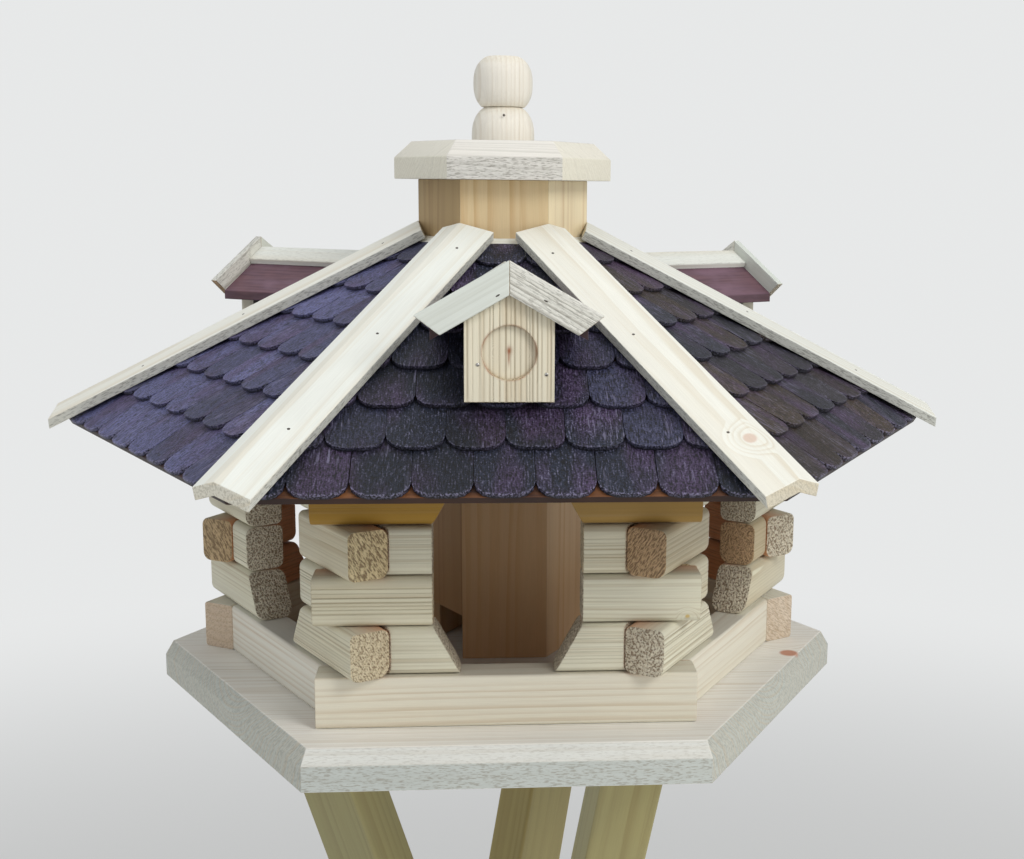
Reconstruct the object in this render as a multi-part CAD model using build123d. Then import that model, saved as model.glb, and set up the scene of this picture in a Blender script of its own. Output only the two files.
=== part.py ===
from build123d import *
import os
from math import asin, atan, atan2, ceil, cos, degrees, radians, sin, sqrt, tan

os.makedirs("parts", exist_ok=True)

# A six-sided log-built bird feeder on a stand of three crossed bars. Millimetres, +Z up, the origin on the
# ground under the middle of the house. Side 0 is the front and faces -Y, and side k is turned k sixths of a
# turn about Z, anticlockwise from above. The apothem of a piece is its distance from the middle line.

SIDES = 6
SIXTH = 360 / SIDES
MITRE = tan(radians(SIXTH / 2))        # half width of a side over its apothem
SIDE_NAMES = ["front", "front_right", "back_right", "back", "back_left", "front_left"]
CORNER_NAMES = ["right", "back_right", "back_left", "left", "front_left", "front_right"]
DORMER_SIDES = (0, 2, 4)
PLAIN_SIDES = (1, 3, 5)
TURNED_CAPS = (1, 3, 4)                # corners whose hip cap has its wider flange anticlockwise
FAR = 2000.0                           # larger than the whole feeder, for cutting tools
BALL_STEPS = 9                         # spans of a turned ball's outline

# Stand
stand_height = 1100.0
leg_size = 38.0
leg_edge_radius = 2.5
leg_top_radius = 129.0                 # from the middle line to a leg's axis under the floor plate
leg_foot_radius = 236.0                # the same on the ground
leg_pass_radius = 28.65                # from the middle line to a leg's axis where the bars cross
leg_turn = 21.0                        # of the square section about the leg's axis
leg_bearing = 187.5                    # of the first leg's top end, anticlockwise from +X

# Floor plate
plate_circumradius = 220.0
plate_thickness = 23.4
plate_chamfer_height = 9.2
plate_chamfer_inset = 4.7

# Sill rails
rail_apothem = 160.4
rail_height = 29.2
rail_thickness = 22.0
rail_edge_radius = 2.0

# Log courses
log_apothem = 159.6
log_height = 28.0
log_thickness = 24.4
log_edge_radius = 4.5
log_overhang = 0.4                     # of a through log past the outer face of the log that butts on it
window_courses = 4                     # courses that stand on both sides of a window
window_half_width = 40.9
window_sill_half_width = 25.5          # at the window's slanted foot and head
wall_plate_height = 18.3               # of the bevelled top log at its outer face

# Roof
roof_pitch = 30.6
sheet_thickness = 4.0
eave_apothem = 238.0                   # of the lowest shingles' tips
sheet_setback = 4.0                    # of the sheet's edge behind those tips, down the slope
shingle_thickness = 2.5
shingle_exposure = 32.5                # of each row below the next one's tips
cap_wide_flange = 22.5
cap_narrow_flange = 13.5
cap_thickness = 6.0
cap_reach = 279.5                      # from the middle line to a hip cap's plumb-cut lower end

# Silo
silo_circumradius = 53.0
silo_wall = 10.0
silo_height = 297.5                    # from the floor to the lid
outlet_height = 28.0
OUTLET_SIDES = (2, 5)
strip_length = 17.0                    # of the strips round the silo's foot on the roof, down the slope
strip_thickness = 3.2
strip_end_gap = 3.0                    # from a strip's end to the hip line

# Dormers
dormer_apothem = 190.0                 # of the gable board's front face
gable_width = 46.0
gable_thickness = 10.0
recess_diameter = 28.0
recess_depth = 3.0
recess_height = 25.3                   # of the recess's middle over the gable board's foot
dormer_pitch = 30.0
gable_height = 54.8                    # from the gable board's foot on the shingles to its point
dormer_half_width = 40.0
dormer_plank = 5.0
barge_half_width = 48.0
barge_depth = 15.0
barge_thickness = 4.5
barge_rise = 11.5                      # of the barge boards' ridge over the planks' ridge
hip_cap_gap = 0.5                      # from a plank to the edge of the nearest hip cap
ridge_cap_flange = 16.0
ridge_cap_thickness = 4.0

# Lid
lid_circumradius = 67.7
lid_thickness = 23.0
lid_chamfer_height = 10.0
lid_chamfer_inset = 9.5
plug_thickness = 10.0
plug_clearance = 5.0                   # between the plug and the silo boards
turned_fullness = 2.5                  # exponent of the turned balls' outline, 2 for an ellipse
knob_radius = 19.4
knob_height = 21.4
knob_widest = 3.1                      # height of the lower ball's widest place
knob_half_height = 20.6                # of the whole ball that the lower one is cut from
ball_radius = 18.3
ball_height = 30.3
ball_widest = 14.1
ball_half_height = 17.9

# Worked-out levels
floor_level = stand_height + plate_thickness
sill_level = floor_level + rail_height
window_top = sill_level + window_courses * log_height
wall_plate_level = window_top + log_height
slope = tan(radians(roof_pitch))
plumb = 1 / cos(radians(roof_pitch))   # height of a layer over its thickness on the slope
sheet_under = wall_plate_level + wall_plate_height + slope * log_apothem   # on the middle line
sheet_top = sheet_under + sheet_thickness * plumb
crest_top = sheet_top + 2 * shingle_thickness * plumb
hip_fall = atan(slope * cos(radians(SIXTH / 2)))   # of the hip line
hip_cap_fall = asin(sin(radians(roof_pitch)) * sin(radians(SIXTH / 2)))   # of a hip cap's flanges to the sides
silo_apothem = silo_circumradius * cos(radians(SIXTH / 2))
silo_top = floor_level + silo_height
eave_run = eave_apothem * plumb        # from the middle line down the slope to the lowest tips
strip_run = silo_apothem * plumb + strip_length   # the same to the lower edge of the strips round the silo
shingle_rows = ceil((eave_run - strip_run) / shingle_exposure)
dormer_slope = tan(radians(dormer_pitch))
dormer_plumb = 1 / cos(radians(dormer_pitch))


def turned(piece, k):
    """The piece turned on to side or corner k."""
    return Rot(0, 0, SIXTH * k) * piece


def prism(points, low, high):
    """A prism over points in plan, from height low to height high."""
    return extrude(Pos(0, 0, low) * make_face(Polyline(*points, close=True)), amount=high - low)


def beyond(k, apothem):
    """All that lies outside side k's plane at the apothem."""
    block = Box(FAR, FAR, 2 * FAR, align=(Align.CENTER, Align.MAX, Align.CENTER))
    return turned(Pos(0, -apothem, 0) * block, k)


def sector():
    """The sixth of all space that belongs to side 0."""
    return prism([(0, 0), (-FAR * MITRE, -FAR), (FAR * MITRE, -FAR)], 0, FAR)


def hexagon(circumradius, low, high):
    """An upright six-sided prism with corners on the X axis."""
    return extrude(Pos(0, 0, low) * RegularPolygon(circumradius, SIDES), amount=high - low)


def cut_bevel(plate, circumradius, top, height, inset):
    """The plate with a sloping cut along each of its top edges."""
    apothem = circumradius * cos(radians(SIXTH / 2))
    for k in range(SIDES):
        wedge = Polyline((0, -apothem, top - height), (0, -apothem + inset, top),
                         (0, -apothem - inset, top), close=True)
        plate = plate - turned(extrude(make_face(wedge), amount=circumradius, dir=(1, 0, 0), both=True), k)
    return plate


def roof_plane(peak):
    """Side 0's roof plane through height peak on the middle line: local +Y runs up the slope."""
    pitch = radians(roof_pitch)
    return Plane(origin=(0, 0, peak), x_dir=(1, 0, 0), z_dir=(0, -sin(pitch), cos(pitch)))


def above_roof(peak):
    """All that lies over side 0's roof plane."""
    return roof_plane(peak) * Box(FAR, FAR, FAR, align=(Align.CENTER, Align.CENTER, Align.MIN))


def below_roof(peak):
    """All that lies under side 0's roof plane."""
    return roof_plane(peak) * Box(FAR, FAR, FAR, align=(Align.CENTER, Align.CENTER, Align.MAX))


def bar_along(half_length, apothem, thickness, low, height, radius):
    """A level bar on side 0 with rounded long edges, its outer face at the apothem."""
    middle = Vector(-half_length, -apothem + thickness / 2, low + height / 2)
    start = Plane(origin=middle, x_dir=(0, 1, 0), z_dir=(1, 0, 0))
    return extrude(start * RectangleRounded(thickness, height, radius), amount=2 * half_length)


def window():
    """The window of side 0, narrower at its foot and head, cut right through the wall."""
    outline = [
        (window_sill_half_width, sill_level), (window_half_width, sill_level + log_height),
        (window_half_width, window_top - log_height), (window_sill_half_width, window_top),
        (-window_sill_half_width, window_top), (-window_half_width, window_top - log_height),
        (-window_half_width, sill_level + log_height), (-window_sill_half_width, sill_level),
    ]
    face = make_face(Polyline(*[(x, -log_apothem, z) for x, z in outline], close=True))
    return extrude(face, amount=2 * log_thickness, dir=(0, 1, 0), both=True)


def through_bar(apothem, thickness, low, height, radius, overhang):
    """A bar of side 0 that runs past both corners, flush with the neighbours' outer faces or a little over."""
    return bar_along((apothem + thickness) * MITRE + overhang, apothem, thickness, low, height, radius)


def butting_bar(apothem, thickness, low, height, radius):
    """A bar of side 0 whose ends are cut to lie against the inner faces of the neighbours' through bars."""
    bar = bar_along(apothem, apothem, thickness, low, height, radius)
    return bar - beyond(1, apothem - thickness) - beyond(-1, apothem - thickness)


def course(number, k):
    """The logs of one course on side k: odd sides run through in odd courses, even sides in even ones."""
    low = sill_level + (number - 1) * log_height
    if (number + k) % 2 == 0:
        log = through_bar(log_apothem, log_thickness, low, log_height, log_edge_radius, log_overhang)
    else:
        log = butting_bar(log_apothem, log_thickness, low, log_height, log_edge_radius)
    if number <= window_courses:
        log = log - window()
    return turned(log, k).solids()


def wall_plate(k):
    """The bevelled top log of side k, which the roof sheets lie on."""
    tall = wall_plate_height + log_thickness * slope
    if k % 2 == 0:
        log = through_bar(log_apothem, log_thickness, wall_plate_level, tall, rail_edge_radius, log_overhang)
    else:
        log = butting_bar(log_apothem, log_thickness, wall_plate_level, tall, rail_edge_radius)
    for side in (-1, 0, 1):
        log = log - turned(above_roof(sheet_under), side)
    return turned(log, k).solids()


def floor_plate():
    """The thick six-sided floor."""
    return cut_bevel(hexagon(plate_circumradius, stand_height, floor_level), plate_circumradius,
                     floor_level, plate_chamfer_height, plate_chamfer_inset)


def leg(number):
    """One of the three square bars, cut level at the ground and under the floor plate."""
    before = sqrt(leg_top_radius ** 2 - leg_pass_radius ** 2)
    after = sqrt(leg_foot_radius ** 2 - leg_pass_radius ** 2)
    top = Vector(-before, -leg_pass_radius, stand_height)
    foot = Vector(after, -leg_pass_radius, 0)
    along = (foot - top).normalized()
    level = Vector(0, 0, 1).cross(along)
    start = top - along * leg_size
    section = Plane(origin=start, x_dir=level, z_dir=along) * Rot(0, 0, leg_turn)
    bar = extrude(section * RectangleRounded(leg_size, leg_size, leg_edge_radius),
                  amount=(foot - top).length + 2 * leg_size)
    keep = extrude(Rectangle(FAR, FAR), amount=stand_height)
    top_bearing = degrees(atan2(top.Y, top.X))
    return Rot(0, 0, leg_bearing - top_bearing + 360 / 3 * number) * (bar & keep)


def silo_board(k):
    """A silo board with mitred edges. The boards over the outlets stop short of the floor."""
    foot = floor_level + (outlet_height if k in OUTLET_SIDES else 0)
    outer, inner = silo_apothem, silo_apothem - silo_wall
    right = [(outer * MITRE, -outer), (inner * MITRE, -inner)]
    left = [(-x, y) for x, y in reversed(right)]
    return turned(prism(right + left, foot, silo_top), k)


def roof_strip(peak, lower, thickness):
    """A layer of side 0's slope from the silo to a distance down the slope, its under side through peak."""
    strip = roof_plane(peak) * Pos(0, -lower / 2, 0) * Box(
        2 * lower, lower, thickness, align=(Align.CENTER, Align.CENTER, Align.MIN))
    return (strip & sector() & beyond(0, silo_apothem)).solid()


def roof_sheet(k):
    """One of the six sheets under the shingles, mitred at the hips and cut to the silo."""
    return turned(roof_strip(sheet_under, eave_run - sheet_setback, sheet_thickness), k)


def shingle_courses(k):
    """The stepped form of one side's overlapping shingle rows, as far up as the strips round the silo."""
    top = strip_run
    points = [(-eave_run, 0), (-eave_run, shingle_thickness)]
    for row in range(1, shingle_rows):
        tip = eave_run - row * shingle_exposure
        points += [(-tip, shingle_thickness), (-tip, 2 * shingle_thickness)]
    last = eave_run - (shingle_rows - 1) * shingle_exposure
    end = 2 * shingle_thickness - shingle_thickness * (last - top) / shingle_exposure
    points += [(-top, end), (-top, 0)]
    section = roof_plane(sheet_top) * Plane(origin=(-eave_run, 0, 0), x_dir=(0, 1, 0), z_dir=(1, 0, 0))
    steps = extrude(section * make_face(Polyline(*points, close=True)), amount=2 * eave_run)
    return turned(steps & sector(), k)


def silo_strip(k):
    """A strip on the roof sheet round the silo's foot, ending under the hip caps."""
    strip = roof_strip(sheet_top, strip_run, strip_thickness)
    for side in (-1, 1):
        strip = strip - Rot(0, 0, side * SIXTH / 2) * Box(2 * strip_end_gap, FAR, 2 * FAR)
    return turned(strip, k)


def flange_end(side, flange, thickness, fall):
    """The upper and lower corner of a V section's flange on side -1 or 1, from the ridge at the origin."""
    across, down = flange * cos(fall), flange * sin(fall)
    return [(side * across, -down), (side * (across - thickness * sin(fall)), -down - thickness * cos(fall))]


def v_section(right_flange, left_flange, thickness, fall):
    """A V section with its ridge at the origin and two flanges that fall to the sides at the angle fall."""
    right = flange_end(1, right_flange, thickness, fall)
    left = flange_end(-1, left_flange, thickness, fall)
    return make_face(Polyline((0, 0), *right, (0, -thickness / cos(fall)), *reversed(left), close=True))


def hip_cap(k):
    """The V-section cap over corner k's hip, seated on the crests, its square upper end notched for the silo."""
    peak = crest_top + cap_thickness * plumb
    down = Vector(cos(hip_fall), 0, -sin(hip_fall))
    start = Vector(0, 0, peak) + down * (silo_circumradius / cos(hip_fall))
    section = Plane(origin=start, x_dir=(0, 1, 0), z_dir=down)
    flanges = [cap_narrow_flange, cap_wide_flange]
    if k in TURNED_CAPS:
        flanges.reverse()
    cap = extrude(section * v_section(*flanges, cap_thickness, hip_cap_fall), amount=2 * cap_reach)
    cap = cap - Pos(cap_reach, 0, 0) * Box(FAR, FAR, 2 * FAR, align=(Align.MIN, Align.CENTER, Align.CENTER))
    return turned(cap - hexagon(silo_circumradius, 0, FAR), k)


def shingle_surface(apothem):
    """Height of the stepped shingle surface over side 0's middle at the apothem."""
    run = apothem * plumb
    row = int((eave_run - run) // shingle_exposure)
    behind = (eave_run - run) - row * shingle_exposure
    over = shingle_thickness if row == 0 else shingle_thickness * (2 - behind / shingle_exposure)
    return sheet_top + over * plumb - slope * apothem


gable_foot = shingle_surface(dormer_apothem - gable_thickness)
plank_ridge = gable_foot + gable_height + dormer_plank * dormer_plumb


def gable_board():
    """The front board of the dormer on side 0, with a round blind recess."""
    foot = gable_foot
    peak = gable_foot + gable_height
    shoulder = peak - dormer_slope * gable_width / 2
    half = gable_width / 2
    outline = [(-half, foot), (half, foot), (half, shoulder), (0, peak), (-half, shoulder)]
    face = make_face(Polyline(*[(x, -dormer_apothem, z) for x, z in outline], close=True))
    board = extrude(face, amount=gable_thickness, dir=(0, 1, 0))
    drill = Plane(origin=(0, -dormer_apothem, foot + recess_height), x_dir=(1, 0, 0), z_dir=(0, -1, 0))
    return board - drill * Cylinder(recess_diameter / 2, 2 * recess_depth)


def barge_board(side):
    """A barge board in front of the gable and the planks' ends, mitred at the ridge."""
    upper = barge_half_width
    ridge = plank_ridge + barge_rise
    drop = barge_depth * dormer_plumb
    lower = upper - barge_depth * cos(radians(dormer_pitch))
    outline = [(0, ridge), (0, ridge - drop), (side * lower, ridge - drop - dormer_slope * lower),
               (side * upper, ridge - dormer_slope * upper)]
    face = make_face(Polyline(*[(x, -dormer_apothem, z) for x, z in outline], close=True))
    return extrude(face, amount=barge_thickness, dir=(0, -1, 0))


def beside_hip(side):
    """All of side 0's sixth that lies under or beyond the hip cap on its left, side -1, or right, side 1."""
    edge = cap_wide_flange * cos(hip_cap_fall) + hip_cap_gap
    block = Box(2 * edge, FAR, 2 * FAR, align=(Align.CENTER, Align.MAX, Align.CENTER))
    return Rot(0, 0, side * SIXTH / 2) * block


def dormer_plank_board(side):
    """One of the two roof planks of the dormer on side 0, cut to lie on the shingles' crests."""
    drop = dormer_plank * dormer_plumb
    half = dormer_half_width
    edge = plank_ridge - dormer_slope * half
    outline = [(0, plank_ridge), (0, plank_ridge - drop), (side * half, edge - drop), (side * half, edge)]
    face = make_face(Polyline(*[(x, -dormer_apothem, z) for x, z in outline], close=True))
    return extrude(face, amount=dormer_apothem, dir=(0, 1, 0)) - below_roof(crest_top) - beside_hip(side)


def dormer_ridge_cap():
    """The V-section cap along the dormer's ridge, from the barge boards to the main roof."""
    peak = plank_ridge + ridge_cap_thickness * dormer_plumb
    section = Plane(origin=(0, -dormer_apothem, peak), x_dir=(-1, 0, 0), z_dir=(0, 1, 0))
    profile = v_section(ridge_cap_flange, ridge_cap_flange, ridge_cap_thickness, radians(dormer_pitch))
    cap = extrude(section * profile, amount=dormer_apothem)
    return cap - below_roof(crest_top)


def on_dormers(piece):
    """The piece on each side that has a dormer."""
    return [turned(piece, k) for k in DORMER_SIDES]


def turned_ball(low, height, radius, widest, half_height):
    """A turned ball between two flats, fuller than an ellipse. Its steps are finer towards the ends."""
    points = []
    for step in range(BALL_STEPS + 1):
        rise = height / 2 * (1 - cos(radians(180 * step / BALL_STEPS)))
        share = abs(rise - widest) / half_height
        points.append((radius * (1 - share ** turned_fullness) ** (1 / turned_fullness), low + rise))
    outline = [Line((0, low), points[0]), Spline(*points), Line(points[-1], (0, low + height)),
               Line((0, low + height), (0, low))]
    return revolve(Plane.XZ * make_face(outline), Axis.Z)


def lid_pieces():
    """The lid's plate, the plug under it that stops it from sliding off, and the knob's two balls."""
    lid_top = silo_top + lid_thickness
    plug_apothem = silo_apothem - silo_wall - plug_clearance
    return {
        "lid_plate": cut_bevel(hexagon(lid_circumradius, silo_top, lid_top), lid_circumradius,
                               lid_top, lid_chamfer_height, lid_chamfer_inset),
        "lid_plug": hexagon(plug_apothem / cos(radians(SIXTH / 2)), silo_top - plug_thickness, silo_top),
        "lid_knob_lower": turned_ball(lid_top, knob_height, knob_radius, knob_widest, knob_half_height),
        "lid_knob_upper": turned_ball(lid_top + knob_height, ball_height, ball_radius, ball_widest,
                                      ball_half_height),
    }


def all_pieces():
    """Every node's name and its solids."""
    pieces = {"base_plate": floor_plate()}
    for number, name in enumerate(("a", "b", "c")):
        pieces[f"stand_leg_{name}"] = leg(number)
    rail = (rail_apothem, rail_thickness, floor_level, rail_height, rail_edge_radius)
    pieces["sill_rails_through"] = [turned(through_bar(*rail, 0), k) for k in range(0, SIDES, 2)]
    pieces["sill_rails_between"] = [turned(butting_bar(*rail), k) for k in range(1, SIDES, 2)]
    for number in range(1, window_courses + 2):
        for start, name in ((number % 2, "through"), ((number + 1) % 2, "between")):
            logs = [log for k in range(start, SIDES, 2) for log in course(number, k)]
            pieces[f"logs_course_{number}_{name}"] = logs
    pieces["wall_plates_through"] = [log for k in range(0, SIDES, 2) for log in wall_plate(k)]
    pieces["wall_plates_between"] = [log for k in range(1, SIDES, 2) for log in wall_plate(k)]
    for k, name in enumerate(SIDE_NAMES):
        pieces[f"silo_board_{name}"] = silo_board(k)
    pieces["roof_sheets_with_dormer"] = [roof_sheet(k) for k in DORMER_SIDES]
    pieces["roof_sheets_plain"] = [roof_sheet(k) for k in PLAIN_SIDES]
    pieces["shingles_with_dormer"] = [shingle_courses(k) for k in DORMER_SIDES]
    pieces["shingles_plain"] = [shingle_courses(k) for k in PLAIN_SIDES]
    pieces["silo_strips"] = [silo_strip(k) for k in range(SIDES)]
    for k, name in enumerate(CORNER_NAMES):
        pieces[f"hip_cap_{name}"] = hip_cap(k)
    pieces["dormer_gables"] = on_dormers(gable_board())
    pieces["dormer_planks_left"] = on_dormers(dormer_plank_board(-1))
    pieces["dormer_planks_right"] = on_dormers(dormer_plank_board(1))
    pieces["dormer_barges_left"] = on_dormers(barge_board(-1))
    pieces["dormer_barges_right"] = on_dormers(barge_board(1))
    pieces["dormer_ridge_caps"] = on_dormers(dormer_ridge_cap())
    pieces.update(lid_pieces())
    return pieces


for node, solids in all_pieces().items():
    shape = Compound(children=list(solids)) if isinstance(solids, list) else solids
    export_step(shape, f"parts/{node}.step")
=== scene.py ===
"""The looks of a six-sided log-built bird feeder on crossed bars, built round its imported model.

Lengths are in metres, +Z is up and the front faces -Y. Side k of the house is side 0, the front, turned
k sixths of a turn about the Z axis, and so are its pieces.
"""

import logging
import math
from dataclasses import dataclass, field, replace
from enum import Enum
from functools import reduce
from typing import Callable, Sequence

import bmesh
import bpy
import numpy as np
from mathutils import Matrix, Vector


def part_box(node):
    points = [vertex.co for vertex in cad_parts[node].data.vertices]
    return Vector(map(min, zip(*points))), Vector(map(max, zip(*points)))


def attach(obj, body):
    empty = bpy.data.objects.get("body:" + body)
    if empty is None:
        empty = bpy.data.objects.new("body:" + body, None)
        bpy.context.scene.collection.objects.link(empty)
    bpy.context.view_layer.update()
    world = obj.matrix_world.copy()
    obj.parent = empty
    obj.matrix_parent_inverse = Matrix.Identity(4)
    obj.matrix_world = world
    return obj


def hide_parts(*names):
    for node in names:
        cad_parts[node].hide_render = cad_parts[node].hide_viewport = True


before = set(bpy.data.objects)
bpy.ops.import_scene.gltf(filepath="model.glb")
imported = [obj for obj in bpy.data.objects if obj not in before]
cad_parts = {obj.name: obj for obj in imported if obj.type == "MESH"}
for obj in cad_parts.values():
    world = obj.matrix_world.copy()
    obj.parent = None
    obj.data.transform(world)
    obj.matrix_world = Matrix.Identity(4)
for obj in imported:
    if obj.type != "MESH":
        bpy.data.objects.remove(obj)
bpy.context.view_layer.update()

Array = np.ndarray
Colour = tuple[float, float, float]
Faces = list[list[int]]

LOG = logging.getLogger("bird_feeder")
MM = 0.001
SIXTH = math.pi / 3
MITRE = math.tan(SIXTH / 2)
SIDES = 6
DORMER_SIDES = (0, 2, 4)
RIGHT, FRONT, UP = np.array([1.0, 0, 0]), np.array([0, -1.0, 0]), np.array([0, 0, 1.0])
ROOF_PITCH = math.radians(30.6)
WALL_APOTHEM = 159.6 * MM
LOG_THICKNESS = 24.4 * MM
TRUNK_LENGTH = 9.0
HOUSE = "house"
LID = "lid"
SEED = 5921


class Grain(Enum):
    """How a board's grain direction is chosen."""

    LONGEST_EDGE = "longest edge of each board"
    ALONG_X = "along the row's X axis"
    UPRIGHT = "along the row's Z axis"


def srgb(red: int, green: int, blue: int) -> Colour:
    """A linear colour from the eight-bit values that a screen shows, by the screen's standard curve.

    Args:
        red, green, blue: screen values from 0 to 255.

    Returns:
        The same colour in linear light.
    """
    def linear(value: int) -> float:
        """One channel in linear light."""
        share = value / 255
        return share / 12.92 if share <= 0.04045 else ((share + 0.055) / 1.055) ** 2.4

    return linear(red), linear(green), linear(blue)


def turned(points: Array, side: float) -> Array:
    """Points or directions turned about Z from side 0 to another side.

    Args:
        points: positions, one a row, or one direction.
        side: how many sixths of a turn.

    Returns:
        The turned positions.
    """
    cosine, sine = math.cos(SIXTH * side), math.sin(SIXTH * side)
    spin = np.array([[cosine, -sine, 0], [sine, cosine, 0], [0, 0, 1]])
    return points @ spin.T


# Shader maths


class Value:
    """A number in a shader tree. Arithmetic on it adds Math nodes."""

    def __init__(self, shader: "Shader", socket: bpy.types.NodeSocket) -> None:
        """Wraps an output socket of the shader's tree."""
        self.shader = shader
        self.socket = socket

    def __add__(self, other: "Value | float") -> "Value":
        """The sum."""
        return self.shader.math("ADD", self, other)

    def __sub__(self, other: "Value | float") -> "Value":
        """The difference."""
        return self.shader.math("SUBTRACT", self, other)

    def __rsub__(self, other: float) -> "Value":
        """The difference from a plain number."""
        return self.shader.math("SUBTRACT", other, self)

    def __mul__(self, other: "Value | float") -> "Value":
        """The product."""
        return self.shader.math("MULTIPLY", self, other)

    def __truediv__(self, other: "Value | float") -> "Value":
        """The quotient."""
        return self.shader.math("DIVIDE", self, other)

    def __rtruediv__(self, other: float) -> "Value":
        """A plain number over this one."""
        return self.shader.math("DIVIDE", other, self)

    def __pow__(self, other: float) -> "Value":
        """The power."""
        return self.shader.math("POWER", self, other)

    def __rpow__(self, other: float) -> "Value":
        """A plain number to this power."""
        return self.shader.math("POWER", other, self)

    __radd__ = __add__
    __rmul__ = __mul__

    def fraction(self) -> "Value":
        """What is left over the whole number below."""
        return self.shader.math("FRACT", self)

    def rise(self, low: float, high: float) -> "Value":
        """A smooth rise from 0 at low to 1 at high, level outside."""
        node = self.shader.node("ShaderNodeMapRange", {"interpolation_type": "SMOOTHSTEP"},
                                {"Value": self, "From Min": low, "From Max": high})
        return Value(self.shader, node.outputs["Result"])


class Shader:
    """The node tree of a material or the world, with the few calls that the finishes are written in."""

    specular: float = 0.35

    def __init__(self, owner: bpy.types.Material | bpy.types.World) -> None:
        """Takes over a tree and empties it.

        Args:
            owner: the material or world that the tree belongs to.
        """
        owner.use_nodes = True
        self.owner = owner
        self.tree = owner.node_tree
        self.tree.nodes.clear()

    def node(self, kind: str, settings: dict, sockets: dict) -> bpy.types.Node:
        """Adds a node.

        Args:
            kind: the node's type.
            settings: its properties, which are set first.
            sockets: values or links of its inputs, by name or number.

        Returns:
            The node.
        """
        made = self.tree.nodes.new(kind)
        for key, setting in settings.items():
            setattr(made, key, setting)
        for key, given in sockets.items():
            source = given.socket if isinstance(given, Value) else given
            if isinstance(source, bpy.types.NodeSocket):
                self.tree.links.new(source, made.inputs[key])
            else:
                made.inputs[key].default_value = source
        return made

    def math(self, operation: str, *values: "Value | float") -> Value:
        """The result of a Math node on numbers."""
        node = self.node("ShaderNodeMath", {"operation": operation}, dict(enumerate(values)))
        return Value(self, node.outputs[0])

    def place(self) -> bpy.types.NodeSocket:
        """Where a point lies on the object, in metres."""
        return self.node("ShaderNodeTexCoord", {}, {}).outputs["Object"]

    def vector(self, name: str) -> bpy.types.NodeSocket:
        """An attribute of the mesh that holds a vector."""
        return self.node("ShaderNodeAttribute", {"attribute_name": name}, {}).outputs["Vector"]

    def number(self, name: str) -> Value:
        """An attribute of the mesh that holds one number."""
        return Value(self, self.node("ShaderNodeAttribute", {"attribute_name": name}, {}).outputs["Fac"])

    def stretch(self, vector: bpy.types.NodeSocket, factors: Sequence[float]) -> bpy.types.NodeSocket:
        """A vector multiplied axis by axis."""
        return self.node("ShaderNodeVectorMath", {"operation": "MULTIPLY"},
                         {0: vector, 1: tuple(factors)}).outputs[0]

    def noise(self, vector: bpy.types.NodeSocket, factors: Sequence[float], detail: float = 2.0) -> Value:
        """Cloudy noise from 0 to 1, with a scale for each axis in cycles to the metre."""
        node = self.node("ShaderNodeTexNoise", {"noise_dimensions": "3D"},
                         {"Vector": self.stretch(vector, factors), "Scale": 1.0, "Detail": detail})
        return Value(self, node.outputs[0])

    def line_noise(self, place: Value) -> Value:
        """Smooth noise from 0 to 1 along one number."""
        node = self.node("ShaderNodeTexNoise", {"noise_dimensions": "1D"},
                         {"W": place, "Scale": 1.0, "Detail": 0.0})
        return Value(self, node.outputs[0])

    def chance(self, number: Value) -> Value:
        """A random number from 0 to 1 for each whole number."""
        node = self.node("ShaderNodeTexWhiteNoise", {"noise_dimensions": "1D"}, {"W": number})
        return Value(self, node.outputs["Value"])

    def mix(self, share: "Value | float", low: object, high: object) -> bpy.types.NodeSocket:
        """A blend of two colours.

        Args:
            share: 0 for the first, 1 for the second.
            low, high: linear colours or sockets.

        Returns:
            The colour socket.
        """
        paint = [(*c, 1.0) if isinstance(c, tuple) else c for c in (low, high)]
        node = self.node("ShaderNodeMix", {"data_type": "RGBA", "blend_type": "MIX", "clamp_factor": True},
                         {0: share, 6: paint[0], 7: paint[1]})
        return node.outputs[2]

    def scaled(self, colour: bpy.types.NodeSocket, factor: Value) -> bpy.types.NodeSocket:
        """A colour made lighter or darker by a number."""
        return self.node("ShaderNodeVectorMath", {"operation": "SCALE"}, {0: colour, "Scale": factor}).outputs[0]

    def finish(self, colour: bpy.types.NodeSocket, roughness: Value, height: Value,
               metallic: float = 0.0) -> bpy.types.Material:
        """Ends the tree in one surface shader.

        Args:
            colour: the base colour.
            roughness: the surface's roughness.
            height: the relief in metres.
            metallic: 1 for bare metal.

        Returns:
            The material.
        """
        relief = self.node("ShaderNodeBump", {}, {"Strength": 1.0, "Distance": 1.0, "Height": height})
        surface = self.node("ShaderNodeBsdfPrincipled", {}, {
            "Base Color": colour, "Metallic": metallic, "Roughness": roughness, "Normal": relief.outputs[0],
            "Specular IOR Level": self.specular})
        self.node("ShaderNodeOutputMaterial", {}, {"Surface": surface.outputs[0]})
        return self.owner


# Finishes


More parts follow.
